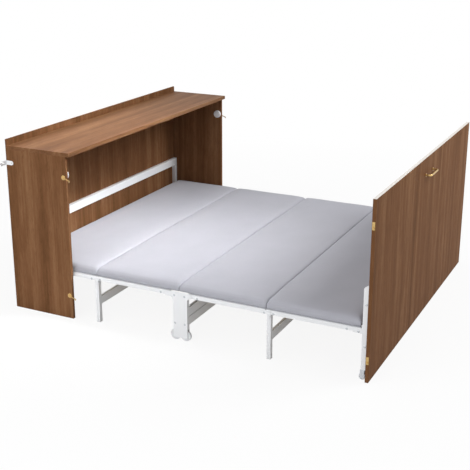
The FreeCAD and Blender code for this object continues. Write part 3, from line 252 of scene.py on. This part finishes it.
def walnut_veneer(name, settings, grain, shine, painted_highlight=None):
    """Crown-cut walnut veneer under a matt lacquer: wandering streaks, soft colour bands, fine dark pores.

    Leaves of veneer about 0.2 m wide stand side by side and differ a little in tone. The lacquer barely
    shines, so its colour stays deep at a low angle. grain is 0, 1 or 2, the axis that the grain runs along.
    The last argument is the height above which the panel's top edge gets a painted highlight: a pale band
    that stands for a lamp's reflection along that edge.
    """
    def size(across, along):
        return tuple(along if i == grain else across for i in range(3))

    material, tree, shader, place = new_material(name, Roughness=0.46, IOR=1.42, Specular_IOR_Level=shine)
    # the grain wanders sideways by up to 12 mm over about a metre
    drift = noise(tree, stretched(tree, place, size(0.22, 0.85)), 2.0, 0.45)
    side = scaled(tree, drift, 0.05, -0.025)
    shift = add(tree, "ShaderNodeCombineXYZ", {},
                {axis: side for i, axis in enumerate("XYZ") if i != grain}).outputs[0]
    wood = add(tree, "ShaderNodeVectorMath", {"operation": "ADD"}, {0: place, 1: shift}).outputs[0]
    bands = noise(tree, stretched(tree, wood, size(0.070, 1.9)), 2.0, 0.5)
    streaks = noise(tree, stretched(tree, wood, size(0.017, 0.75)), 4.0, 0.62, 0.5)
    mottle = noise(tree, stretched(tree, wood, size(0.035, 0.11)), 3.0, 0.55, 0.6)
    fibres = noise(tree, stretched(tree, wood, size(0.0040, 0.10)), 2.0, 0.6)
    pores = noise(tree, stretched(tree, wood, size(0.0022, 0.030)), 1.0)
    # leaves: one tone for each leaf's width
    parts = add(tree, "ShaderNodeSeparateXYZ", {}, {0: wood}).outputs
    flat = [parts[i] for i in range(3) if i != grain]
    width = add(tree, "ShaderNodeMath", {"operation": "ADD"}, {0: flat[0], 1: flat[1]}).outputs[0]
    leaf = add(tree, "ShaderNodeMath", {"operation": "SNAP", 1: LEAF_WIDTH},
               {0: scaled(tree, width, 1.0, LEAF_WIDTH / 3)}).outputs[0]
    tone = add(tree, "ShaderNodeTexWhiteNoise", {"noise_dimensions": "1D"}, {"W": leaf}).outputs["Value"]
    # everything adds up to one value around a half, which the ramp turns into wood colour
    figure = scaled(tree, bands, 0.95, -0.475)
    for value, share in ((streaks, 0.62), (mottle, 0.30), (fibres, 0.34), (tone, 0.13)):
        figure = add(tree, "ShaderNodeMath", {"operation": "MULTIPLY_ADD", 1: share},
                     {0: scaled(tree, value, 1.0, -0.5), 2: figure}).outputs[0]
    colour = ramp(tree, scaled(tree, figure, 1.0, 0.5),
                  [(0.12, settings.walnut_dark), (0.50, settings.walnut), (0.88, settings.walnut_light)])
    deep = ramp(tree, pores, [(0.30, 0.32), (0.40, 0.0)])
    colour = mix(tree, deep, colour, tuple(0.42 * c for c in settings.walnut_dark))
    # painted highlight: above the given height the front panel's top edge is painted pale, for a lamp's
    # reflection along it
    if painted_highlight:
        height = add(tree, "ShaderNodeSeparateXYZ", {}, {0: place}).outputs["Z"]
        edge = add(tree, "ShaderNodeMath", {"operation": "GREATER_THAN", 1: painted_highlight}, {0: height}).outputs[0]
        colour = mix(tree, edge, colour, settings.edge)
    tree.links.new(colour, shader.inputs["Base Color"])
    tree.links.new(ramp(tree, fibres, [(0.3, 0.42), (0.7, 0.52)]), shader.inputs["Roughness"])
    bump(tree, shader, fibres, 0.00012, 0.4)
    return material


def powder_coat(settings):
    """White polyester powder coat on steel: even, satin, with a faint orange peel."""
    material, tree, shader, place = new_material("powder_coated_steel", Roughness=0.38)
    tint = noise(tree, stretched(tree, place, (0.25,) * 3), 2.0)
    base = mix(tree, ramp(tree, tint, [(0.3, 0.0), (0.7, 1.0)]), settings.powder,
               tuple(0.965 * c for c in settings.powder))
    tree.links.new(base, shader.inputs["Base Color"])
    bump(tree, shader, noise(tree, stretched(tree, place, (0.0025,) * 3), 1.0), 0.00008, 0.4)
    return material


def knitted_ticking(settings):
    """Knitted polyester ticking over foam: matt, softly napped, a 3 mm knit drawn coarser than life."""
    material, tree, shader, place = new_material("knitted_ticking", Roughness=0.9, Sheen_Weight=0.12,
                                                 Sheen_Roughness=0.5, Specular_IOR_Level=0.3)
    cloudy = noise(tree, stretched(tree, place, (0.16, 0.12, 0.1)), 3.0)
    knit = stretched(tree, place, (0.003,) * 3)
    course, wale = (add(tree, "ShaderNodeTexWave",
                        {"wave_type": "BANDS", "bands_direction": axis, "Scale": 0.32, "Distortion": 0.6,
                         "Detail": 1.0}, {"Vector": knit}).outputs["Fac"] for axis in "XY")
    weave = add(tree, "ShaderNodeMath", {"operation": "MULTIPLY"}, {0: course, 1: wale}).outputs[0]
    base = mix(tree, ramp(tree, cloudy, [(0.3, 0.0), (0.7, 1.0)]), settings.ticking,
               tuple(0.965 * c for c in settings.ticking))
    base = mix(tree, 0.08, base, ramp(tree, weave, [(0.0, 0.55), (1.0, 1.0)]), "MULTIPLY")
    tree.links.new(base, shader.inputs["Base Color"])
    bump(tree, shader, weave, 0.0003, 0.3)
    return material


def satin_brass(settings):
    """Brushed brass under clear lacquer: a warm metal with fine lengthwise scratches."""
    material, tree, shader, place = new_material("satin_brass", Metallic=1.0)
    scratch = noise(tree, stretched(tree, place, (0.02, 0.0008, 0.0008)), 2.0)
    tone = ramp(tree, scratch, [(0.3, 0.0), (0.7, 1.0)])
    tree.links.new(mix(tree, tone, settings.brass, tuple(0.86 * c for c in settings.brass)),
                   shader.inputs["Base Color"])
    tree.links.new(ramp(tree, scratch, [(0.3, 0.24), (0.7, 0.36)]), shader.inputs["Roughness"])
    return material


def moulded_nylon(settings):
    """Injection-moulded nylon: slightly translucent white with a fine spark texture."""
    material, tree, shader, place = new_material("moulded_nylon", Roughness=0.45, Subsurface_Weight=0.05,
                                                 Subsurface_Scale=0.002)
    tint = noise(tree, stretched(tree, place, (0.03,) * 3), 2.0)
    tree.links.new(mix(tree, ramp(tree, tint, [(0.3, 0.0), (0.7, 1.0)]), settings.nylon,
                       tuple(0.95 * c for c in settings.nylon)), shader.inputs["Base Color"])
    bump(tree, shader, noise(tree, stretched(tree, place, (0.0012,) * 3), 1.0), 0.00005, 0.4)
    return material


def birch_ply():
    """Bare sanded birch plywood: pale, with faint long figure."""
    material, tree, shader, place = new_material("birch_plywood", Roughness=0.6)
    figure = noise(tree, stretched(tree, place, (0.4, 0.02, 0.02)), 3.0, 0.5, 0.3)
    tree.links.new(ramp(tree, figure, [(0.3, linear("#C9AE86")), (0.7, linear("#E0CBA6"))]),
                   shader.inputs["Base Color"])
    bump(tree, shader, figure, 0.0001, 0.4)
    return material


def zinc_steel():
    """Zinc-plated steel: a cool grey metal with a faint spangle."""
    material, tree, shader, place = new_material("zinc_plated_steel", Metallic=1.0, Roughness=0.34)
    spangle = add(tree, "ShaderNodeTexVoronoi", {"Scale": 1.0},
                  {"Vector": stretched(tree, place, (0.006,) * 3)}).outputs["Distance"]
    tree.links.new(ramp(tree, spangle, [(0.0, linear("#B9BCC0")), (1.0, linear("#CDD0D4"))]),
                   shader.inputs["Base Color"])
    return material


FINISH = {}


class BED_OT_finishes(Operator):
    """Makes the finishes and gives them to the frame's own pieces"""
    bl_idname = "bed.finishes"
    bl_label = "Finishes"

    def execute(self, context):
        settings = context.scene.bed_finishes
        FINISH["upright"] = walnut_veneer("walnut_veneer_upright", settings, 2, 0.01)
        FINISH["lengthwise"] = walnut_veneer("walnut_veneer_lengthwise", settings, 0, 0.06)
        FINISH["powder"] = powder_coat(settings)
        FINISH["ticking"] = knitted_ticking(settings)
        FINISH["brass"] = satin_brass(settings)
        FINISH["nylon"] = moulded_nylon(settings)
        FINISH["ply"] = birch_ply()
        FINISH["zinc"] = zinc_steel()
        # the front panel's veneer gets a painted highlight, a pale band along its top edge
        FINISH["front"] = walnut_veneer("walnut_veneer_front_painted_highlight", settings, 2, 0.01,
                                        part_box("front_panel")[1].z - 0.0005)
        finish(FINISH["upright"], "side_panel_left", "side_panel_right", "back_panel")
        finish(FINISH["front"], "front_panel")
        finish(FINISH["lengthwise"], "top_board")
        by_slot = {"white_metal": "powder", "brass": "brass", "white_plastic": "nylon",
                   "cap_plastic": "nylon", "wheel": "nylon", "zinc": "zinc", "deck_wood": "ply"}
        for part in frame["record"]["subparts"]:
            if part["material_slot"] in by_slot:
                finish(FINISH[by_slot[part["material_slot"]]], part["node"])
        # the photograph shows the wall brackets white
        finish(FINISH["powder"], "wall_bracket_left", "wall_bracket_right")
        return {"FINISHED"}


# ------------------------------------------------------------------ cushions
def rounding(distance, radius):
    """How far a rounded edge has dropped at a distance in from the edge."""
    return radius - math.sqrt(max(0.0, radius ** 2 - max(0.0, radius - distance) ** 2))


def cushion_room(number, sizes):
    """A cushion's space from the solid it stands for: floor, crown, foot end, head end and half its width."""
    low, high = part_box("mattress_%d" % number)
    foot, head = low.y, high.y
    # neighbours meet on the line halfway between their solids
    if number < 4:
        foot = (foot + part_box("mattress_%d" % (number + 1))[1].y) / 2 + 0.0011
    if number > 1:
        head = (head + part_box("mattress_%d" % (number - 1))[0].y) / 2 - 0.0011
    return low.z + 0.0004, high.z, foot, head, high.x + sizes.overhang


def stations(limit, edge):
    """Coordinates from -limit to limit, close together near both ends."""
    close = [limit - edge * (k / 12) ** 2 for k in range(13)]
    wide = [close[-1] * i / 14 for i in range(1, 14)]
    ahead = wide + close[::-1]
    return [-v for v in ahead[::-1]] + [0.0] + ahead


def cushion_blank(number, sizes):
    """A closed cushion blank: a grid over the plan that falls to rounded sides, ends and corners."""
    floor, crown, foot, head, half = cushion_room(number, sizes)
    crown -= 0.95 * sizes.swell
    half -= 0.8 * sizes.swell
    # a cushion is a little too long for its room, which presses it flat against its neighbours
    foot, head = foot - 0.5 * sizes.voxel, head + 0.5 * sizes.voxel
    middle, reach = (foot + head) / 2, (head - foot) / 2
    # the cushions at the carriage roll past each other, so those two ends are rounder
    foot_round, head_round = (sizes.end if n in (0, 4) else sizes.roll if n == 2 else sizes.seam
                              for n in (number, number - 1))
    mesh = bmesh.new()
    xs, ys = stations(half, 0.075), stations(reach, 0.06)
    top = []
    for x in xs:
        line = []
        for y in ys:
            dx, dy = half - abs(x), reach - abs(y)
            drop = math.hypot(rounding(dx, sizes.shoulder), rounding(dy, foot_round if y < 0 else head_round))
            # a long soft fall towards every edge
            drop += 0.005 * max(0.0, 1 - dx / 0.24) ** 2 + 0.0035 * max(0.0, 1 - dy / 0.13) ** 2
            # upright corners are round in plan
            px, py = max(0.0, sizes.corner - dx), max(0.0, sizes.corner - dy)
            pull = max(0.0, 1 - sizes.corner / max(math.hypot(px, py), 1e-9))
            spot = (math.copysign(abs(x) - pull * px, x), middle + math.copysign(abs(y) - pull * py, y))
            line.append(mesh.verts.new((*spot, max(crown - drop, floor + 0.008))))
        top.append(line)
    base = [[mesh.verts.new((v.co.x, v.co.y, floor)) for v in line] for line in top]
    for grid in (top, base):
        for a, b in zip(grid, grid[1:]):
            for k in range(len(ys) - 1):
                mesh.faces.new((a[k], b[k], b[k + 1], a[k + 1]))
    last_x, last_y = len(xs) - 1, len(ys) - 1
    rim = [(i, 0) for i in range(last_x)] + [(last_x, k) for k in range(last_y)]
    rim += [(i, last_y) for i in range(last_x, 0, -1)] + [(0, k) for k in range(last_y, 0, -1)]
    for (i, k), (n, m) in zip(rim, rim[1:] + rim[:1]):
        mesh.faces.new((top[i][k], base[i][k], base[n][m], top[n][m]))
    name = "cushion_blank_%d" % number
    return link(closed(mesh, name), name)


def swollen(grid, sizes):
    """Where the cover's points go as cloth under pressure, with a soft cap on how far each may move."""
    cloth = grid.modifiers.new("cover", "CLOTH")
    sets = cloth.settings
    sets.quality = 4
    sets.mass = 0.3
    sets.tension_stiffness = 18
    sets.compression_stiffness = 18
    sets.shear_stiffness = 8
    sets.bending_stiffness = 0.6
    sets.use_pressure = True
    sets.uniform_pressure_force = COVER_PRESSURE
    sets.effector_weights.gravity = 0
    cloth.point_cache.frame_start = 1
    cloth.point_cache.frame_end = CLOTH_FRAMES
    for step in range(1, CLOTH_FRAMES + 1):
        bpy.context.scene.frame_set(step)
    after = baked(grid, grid.name + "_swollen")
    grid.modifiers.remove(cloth)
    bpy.context.scene.frame_set(1)
    moves = [now.co - was.co for was, now in zip(grid.data.vertices, after.vertices)]
    bpy.data.meshes.remove(after)
    return [m * (sizes.swell * math.tanh(m.length / sizes.swell) / max(m.length, 1e-9)) for m in moves]


def stuffed(number, sizes):
    """One cushion: its blank as an even grid, swollen as cloth, kept in its room and softened."""
    floor, crown, foot, head, half = cushion_room(number, sizes)
    name = "cushion_%d" % number
    blank = cushion_blank(number, sizes)
    remesh = blank.modifiers.new("grid", "REMESH")
    remesh.mode = "VOXEL"
    remesh.voxel_size = sizes.voxel
    grid = link(baked(blank, name), name)
    bpy.data.objects.remove(blank)
    middle = (foot + head) / 2
    for vertex, move in zip(grid.data.vertices, swollen(grid, sizes)):
        # the cover swells out, while its tailored corners hardly pull in
        if move.x * vertex.co.x < 0:
            move.x *= 0.2
        if move.y * (vertex.co.y - middle) < 0:
            move.y *= 0.1
        vertex.co += move
    low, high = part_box("bogie_frame")
    for vertex in grid.data.vertices:
        spot = vertex.co
        # the underside lies flat on the deck and the rails, and just over the carriage's column heads
        over = abs(spot.x) > 0.882 and low.y - 0.006 < spot.y < high.y + 0.006
        spot.z = min(max(spot.z, high.z + 0.0006 if over else floor), crown)
        spot.y = min(max(spot.y, foot), head)
        spot.x = min(max(spot.x, -half), half)
    level = grid.modifiers.new("soften", "SUBSURF")
    level.levels = 1
    level.render_levels = 1
    final = link(baked(grid, name), name, FINISH["ticking"])
    bpy.data.objects.remove(grid)
    final.name = name
    final.data.shade_smooth()
    return final


class BED_OT_cushions(Operator):
    """Makes the four stuffed cushions"""
    bl_idname = "bed.cushions"
    bl_label = "Cushions"

    def execute(self, context):
        sizes = context.scene.bed_sizes
        for number in range(1, 5):
            piece = stuffed(number, sizes)
            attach(piece, "section_%d" % number)
            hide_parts("mattress_%d" % number)
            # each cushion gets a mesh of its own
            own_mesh(piece)
        return {"FINISHED"}


# ------------------------------------------------------------------ bolts and screws
def head_tree():
    """Geometry nodes: a domed head on every point, turned to the point's own direction."""
    tree = bpy.data.node_groups.new("domed_heads", "GeometryNodeTree")
    face = tree.interface
    face.new_socket("Geometry", in_out="INPUT", socket_type="NodeSocketGeometry")
    face.new_socket("Radius", in_out="INPUT", socket_type="NodeSocketFloat")
    face.new_socket("Height", in_out="INPUT", socket_type="NodeSocketFloat")
    face.new_socket("Sides", in_out="INPUT", socket_type="NodeSocketInt")
    face.new_socket("Finish", in_out="INPUT", socket_type="NodeSocketMaterial")
    face.new_socket("Geometry", in_out="OUTPUT", socket_type="NodeSocketGeometry")
    inside = add(tree, "NodeGroupInput")
    rim = add(tree, "GeometryNodeMeshCone", {"Fill Segments": 1},
              {"Vertices": inside.outputs["Sides"], "Radius Bottom": inside.outputs["Radius"],
               "Depth": inside.outputs["Height"]})
    shoulder = add(tree, "ShaderNodeMath", {"operation": "MULTIPLY", 1: 0.72}, {0: inside.outputs["Radius"]})
    tree.links.new(shoulder.outputs[0], rim.inputs["Radius Top"])
    pit = add(tree, "ShaderNodeMath", {"operation": "MULTIPLY", 1: 0.38}, {0: inside.outputs["Radius"]})
    socket = add(tree, "GeometryNodeMeshCone", {"Vertices": 6},
                 {"Radius Bottom": pit.outputs[0], "Radius Top": pit.outputs[0],
                  "Depth": inside.outputs["Height"]})
    lift = add(tree, "ShaderNodeMath", {"operation": "MULTIPLY", 1: 0.55}, {0: inside.outputs["Height"]})
    raised = add(tree, "ShaderNodeCombineXYZ", {}, {"Z": lift.outputs[0]})
    moved = add(tree, "GeometryNodeTransform", {}, {"Geometry": socket.outputs["Mesh"],
                                                    "Translation": raised.outputs[0]})
    carved = add(tree, "GeometryNodeMeshBoolean", {"operation": "DIFFERENCE"},
                 {"Mesh 1": rim.outputs["Mesh"]})
    tree.links.new(moved.outputs["Geometry"], carved.inputs["Mesh 2"])
    away = add(tree, "GeometryNodeInputNamedAttribute", {"data_type": "FLOAT_VECTOR", "Name": "outward"})
    turn = add(tree, "FunctionNodeAlignRotationToVector", {"axis": "Z"},
               {"Vector": away.outputs["Attribute"]})
    placed = add(tree, "GeometryNodeInstanceOnPoints", {},
                 {"Points": inside.outputs["Geometry"], "Instance": carved.outputs["Mesh"],
                  "Rotation": turn.outputs["Rotation"]})
    real = add(tree, "GeometryNodeRealizeInstances", {}, {"Geometry": placed.outputs["Instances"]})
    coloured = add(tree, "GeometryNodeSetMaterial", {},
                   {"Geometry": real.outputs["Geometry"], "Material": inside.outputs["Finish"]})
    add(tree, "NodeGroupOutput", {}, {"Geometry": coloured.outputs["Geometry"]})
    return tree


def heads(tree, name, body, finish_key, radius, height, sides, spots):
    """One mesh of heads for one body; spots are (place, direction)."""
    points = bpy.data.meshes.new(name + "_points")
    points.from_pydata([tuple(p) for p, _ in spots], [], [])
    attribute = points.attributes.new("outward", "FLOAT_VECTOR", "POINT")
    for i, (_, direction) in enumerate(spots):
        attribute.data[i].vector = direction
    seed = link(points, name + "_seed")
    modifier = seed.modifiers.new("heads", "NODES")
    modifier.node_group = tree
    for item in tree.interface.items_tree:
        if item.in_out != "INPUT":
            continue
        value = {"Radius": radius, "Height": height, "Sides": sides,
                 "Finish": FINISH[finish_key]}.get(item.name)
        if value is not None:
            modifier[item.identifier] = value
    mesh = baked(seed, name)
    bpy.data.objects.remove(seed)
    if not mesh.polygons:
        raise RuntimeError("no heads were made for " + name)
    piece = link(mesh, name)
    smooth(mesh)
    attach(piece, body)
    return piece


def out(distance):
    """The Y of a distance in mm measured from the wall into the room."""
    return WALL_Y - distance * MM


def seat(node, place, way, beside=(0, 0, 0)):
    """Where a straight line from outside meets a CAD piece: a head sits there, facing the way it came.

    The line runs beside the place where the head covers a hole.
    """
    way, beside = Vector(way), Vector(beside)
    found, spot, _, _ = NODES[node].ray_cast(Vector(place) + beside + 0.3 * way, -way)
    if not found:
        raise RuntimeError("nothing of %s for a head to sit on at %s" % (node, place))
    return spot - beside, way


class BED_OT_heads(Operator):
    """Makes bolt and screw heads with geometry nodes"""
    bl_idname = "bed.heads"
    bl_label = "Bolts and screws"

    def execute(self, context):
        sizes = context.scene.bed_sizes
        tree = head_tree()
        bpy.context.view_layer.update()
        # bolts through the frame's two long sides: node, body, and (out from the wall, height) in mm
        bolts = [
            ("section_frame_1", "section_1", [(250, 256), (520, 256)]),
            ("section_frame_2", "section_2", [(573, 256), (960, 256)]),
            ("bogie_frame", "carriage", [(1046, 256), (1107, 256), (1048, 97), (1107, 97)]),
            ("section_frame_3", "section_3", [(1180, 256), (1567, 256)]),
            ("section_frame_4", "section_4", [(1618, 256), (2007, 256)]),
            ("foot_frame", "foot", [(2069, 256), (2103, 180), (2103, 400)]),
        ]
        for node, body, spots in bolts:
            heads(tree, body + "_bolts", body, "zinc", sizes.bolt, BOLT_RISE, sizes.sides,
                  [seat(node, (0.8 * side, out(d), z * MM), (side, 0, 0))
                   for d, z in spots for side in (-1, 1)])
        plates, white, catches = [], [], []
        for side, hand in ((-1, "left"), (1, "right")):
            for level in ("top", "bottom"):
                node = "latch_plate_%s_%s" % (hand, level)
                low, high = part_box(node)
                middle = (low + high) / 2
                plates += [seat(node, (0.8 * side, middle.y + dy, middle.z + dz), (side, 0, 0))
                           for dy, dz in ((0.009, 0), (0, 0.009), (0, -0.009))]
                node = "catch_%s_%s" % (hand, level)
                low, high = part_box(node)
                catches.append(seat(node, (0.8 * side, (low.y + high.y) / 2, low.z + 0.0317), (side, 0, 0),
                                    (0, 0.005, 0)))
            node = "wall_bracket_" + hand
            low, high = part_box(node)
            middle = (low + high) / 2
            white.append(seat(node, (0.8 * side, out(36), middle.z), (side, 0, 0), (0, 0, 0.007)))
            white.append(seat(node, (0.9725 * side, 0.8, middle.z), (0, -1, 0), (0, 0, 0.007)))
        # countersunk, like the catch screws, so that a hook passes over them
        heads(tree, "latch_screws", "cabinet", "brass", 0.75 * sizes.screw, FLUSH_RISE,
              sizes.sides, plates)
        heads(tree, "bracket_screws", "cabinet", "zinc", sizes.screw, SCREW_RISE, sizes.sides,
              white)
        heads(tree, "catch_screws", "foot", "brass", sizes.screw, CATCH_RISE, sizes.sides,
              catches)
        return {"FINISHED"}


# ------------------------------------------------------------------ latch plates
def turned(name, side, foot, middle, rings, sides):
    """A closed mesh turned about a line along X; rings are (distance out from the foot, radius)."""
    mesh = bmesh.new()
    loops = []
    for rise, radius in rings:
        angles = [math.tau * k / sides for k in range(sides)]
        loops.append([mesh.verts.new((side * (foot + rise), middle.y + radius * math.cos(a),
                                      middle.z + radius * math.sin(a))) for a in angles])
    for a, b in zip(loops, loops[1:]):
        for k in range(sides):
            n = (k + 1) % sides
            mesh.faces.new((a[k], a[n], b[n], b[k]))
    mesh.faces.new(loops[0])
    mesh.faces.new(loops[-1])
    return closed(mesh, name)


class BED_OT_latches(Operator):
    """Makes the round latch plates, each with the pin that its hook turns on"""
    bl_idname = "bed.latches"
    bl_label = "Latch plates"

    def execute(self, context):
        for side, hand in ((-1, "left"), (1, "right")):
            for level in ("top", "bottom"):
                node = "latch_plate_%s_%s" % (hand, level)
                low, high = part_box(node)
                foot, head = sorted((abs(low.x), abs(high.x)))
                wide, tall = (high.y - low.y) / 2, head - foot
                pin = PIN / 2
                rings = [(0, wide), (0.0010, wide), (0.0016, wide - 0.0006), (0.0020, wide - 0.0018),
                         (0.0020, pin), (tall - 0.0015, pin), (tall - 0.0015, 1.7 * pin),
                         (tall - 0.0006, 1.7 * pin), (tall, 1.3 * pin)]
                mesh = turned(node + "_round", side, foot, (low + high) / 2, rings,
                              2 * context.scene.bed_sizes.sides)
                piece = link(mesh, node + "_round", FINISH["brass"])
                smooth(mesh, math.radians(30))
                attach(piece, "cabinet")
                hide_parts(node)
        return {"FINISHED"}


# ------------------------------------------------------------------ stage
def camera():
    """The photograph's view: a long lens from the left front of the bed."""
    data = bpy.data.cameras.new("view")
    data.sensor_width = 36
    data.lens = 71.9
    data.shift_x = 0.0073
    data.shift_y = -0.0594
    obj = bpy.data.objects.new("view", data)
    obj.location = (-4.8998, WALL_Y - 3.3625, 2.1805)
    obj.rotation_euler = (math.radians(90 - 17.33), 0, math.radians(-63.64))
    bpy.context.scene.collection.objects.link(obj)
    bpy.context.scene.camera = obj


def area(name, spot, aim, size, power, spread):
    data = bpy.data.lights.new(name, "AREA")
    data.shape = "RECTANGLE"
    data.size, data.size_y = size
    data.energy = power
    data.spread = math.radians(spread)
    obj = bpy.data.objects.new(name, data)
    obj.location = spot
    obj.rotation_euler = (Vector(aim) - Vector(spot)).to_track_quat("-Z", "Y").to_euler()
    bpy.context.scene.collection.objects.link(obj)


# name, place, what it is aimed at, size, power, spread of its beam in degrees
LAMPS = [
    ("front_high", (0.4, -4.2, 5.0), (0.0, 0.3, 0.4), (2.5, 2.5), 62, 180),
    ("front_right", (2.2, -4.2, 3.9), (0.0, 0.3, 0.4), (2.2, 2.2), 140, 180),
    ("cabinet_mouth", (0.4, -2.4, 4.4), (-0.5, 0.95, 0.35), (1.2, 1.2), 10, 24),
    ("left", (-5.6, 0.4, 2.4), (0.0, 0.0, 0.5), (3.0, 2.0), 100, 180),
    ("left_back", (-3.4, 2.4, 4.2), (0.0, 0.0, 0.3), (2.5, 2.5), 64, 180),
    ("top", (-0.2, 0.0, 5.0), (0.0, 0.0, 0.0), (4.0, 4.0), 48, 180),
    ("rim", (5.2, 1.5, 1.9), (-0.9, -1.0, 0.9), (1.4, 1.0), 12, 180),
]


def seen(tree):
    """1 for rays that show what they meet: from the camera, a mirror or through glass."""
    rays = add(tree, "ShaderNodeLightPath").outputs
    either = add(tree, "ShaderNodeMath", {"operation": "MAXIMUM"},
                 {0: rays["Is Camera Ray"], 1: rays["Is Glossy Ray"]})
    return add(tree, "ShaderNodeMath", {"operation": "MAXIMUM"},
               {0: either.outputs[0], 1: rays["Is Transmission Ray"]}).outputs[0]


def floor_paint():
    """Pale studio floor: white to the eye, with a soft shadow of the object."""
    material = bpy.data.materials.new("studio_floor")
    material.use_nodes = True
    tree = material.node_tree
    tree.nodes.clear()
    matt = add(tree, "ShaderNodeBsdfDiffuse", {"Color": (0.82, 0.82, 0.82, 1)})
    glow = add(tree, "ShaderNodeEmission", {"Strength": 1.0})
    # the glow takes over away from the object, where the floor has no shadow to show
    place = add(tree, "ShaderNodeTexCoord").outputs["Object"]
    reach = add(tree, "ShaderNodeVectorMath", {"operation": "LENGTH"}, {0: place}).outputs["Value"]
    level = ramp(tree, scaled(tree, reach, 0.125), [(0.16, 0.90), (0.50, 1.0)])
    share = add(tree, "ShaderNodeMath", {"operation": "MULTIPLY"}, {0: seen(tree), 1: level}).outputs[0]
    blend = add(tree, "ShaderNodeMixShader", {}, {0: share, 1: matt.outputs[0], 2: glow.outputs[0]})
    add(tree, "ShaderNodeOutputMaterial", {}, {"Surface": blend.outputs[0]})
    return material


class BED_OT_stage(Operator):
    """Sets up the camera, the pale floor, the world and the studio lamps"""
    bl_idname = "bed.stage"
    bl_label = "Stage"

    def execute(self, context):
        scene = context.scene
        scene.view_settings.view_transform = "Standard"
        camera()
        mesh = bpy.data.meshes.new("studio_floor")
        reach = 60.0
        mesh.from_pydata([(-reach, -reach, -0.0005), (reach, -reach, -0.0005), (reach, reach, -0.0005),
                          (-reach, reach, -0.0005)], [], [(0, 1, 2, 3)])
        link(mesh, "studio_floor", floor_paint())
        world = bpy.data.worlds.new("studio")
        world.use_nodes = True
        scene.world = world
        tree = world.node_tree
        tree.nodes.clear()
        soft = add(tree, "ShaderNodeBackground", {"Color": (0.96, 0.98, 1.0, 1), "Strength": 0.27})
        white = add(tree, "ShaderNodeBackground", {"Color": (1, 1, 1, 1), "Strength": 1.0})
        pick = add(tree, "ShaderNodeMixShader", {}, {0: seen(tree), 1: soft.outputs[0], 2: white.outputs[0]})
        add(tree, "ShaderNodeOutputWorld", {}, {"Surface": pick.outputs[0]})
        for lamp in LAMPS:
            area(*lamp)
        return {"FINISHED"}


class BED_PT_panel(Panel):
    """Lists the steps of the cabinet bed in the sidebar"""
    bl_idname = "BED_PT_panel"
    bl_label = "Cabinet bed"
    bl_space_type = "VIEW_3D"
    bl_region_type = "UI"
    bl_category = "Cabinet bed"

    def draw(self, context):
        for step in STEPS:
            self.layout.operator(step.bl_idname)
        for group in (context.scene.bed_finishes, context.scene.bed_sizes):
            for name in group.__annotations__:
                self.layout.prop(group, name)


STEPS = (BED_OT_stage, BED_OT_finishes, BED_OT_cushions, BED_OT_heads, BED_OT_latches)
CLASSES = (BedFinishes, BedSizes, BED_PT_panel) + STEPS


def register():
    for item in CLASSES:
        bpy.utils.register_class(item)
    bpy.types.Scene.bed_finishes = PointerProperty(type=BedFinishes)
    bpy.types.Scene.bed_sizes = PointerProperty(type=BedSizes)


def unregister():
    del bpy.types.Scene.bed_sizes
    del bpy.types.Scene.bed_finishes
    for item in reversed(CLASSES):
        bpy.utils.unregister_class(item)


def main():
    register()
    bpy.ops.bed.stage()
    bpy.ops.bed.finishes()
    bpy.ops.bed.cushions()
    bpy.ops.bed.heads()
    bpy.ops.bed.latches()


if __name__ == "__main__":
    main()
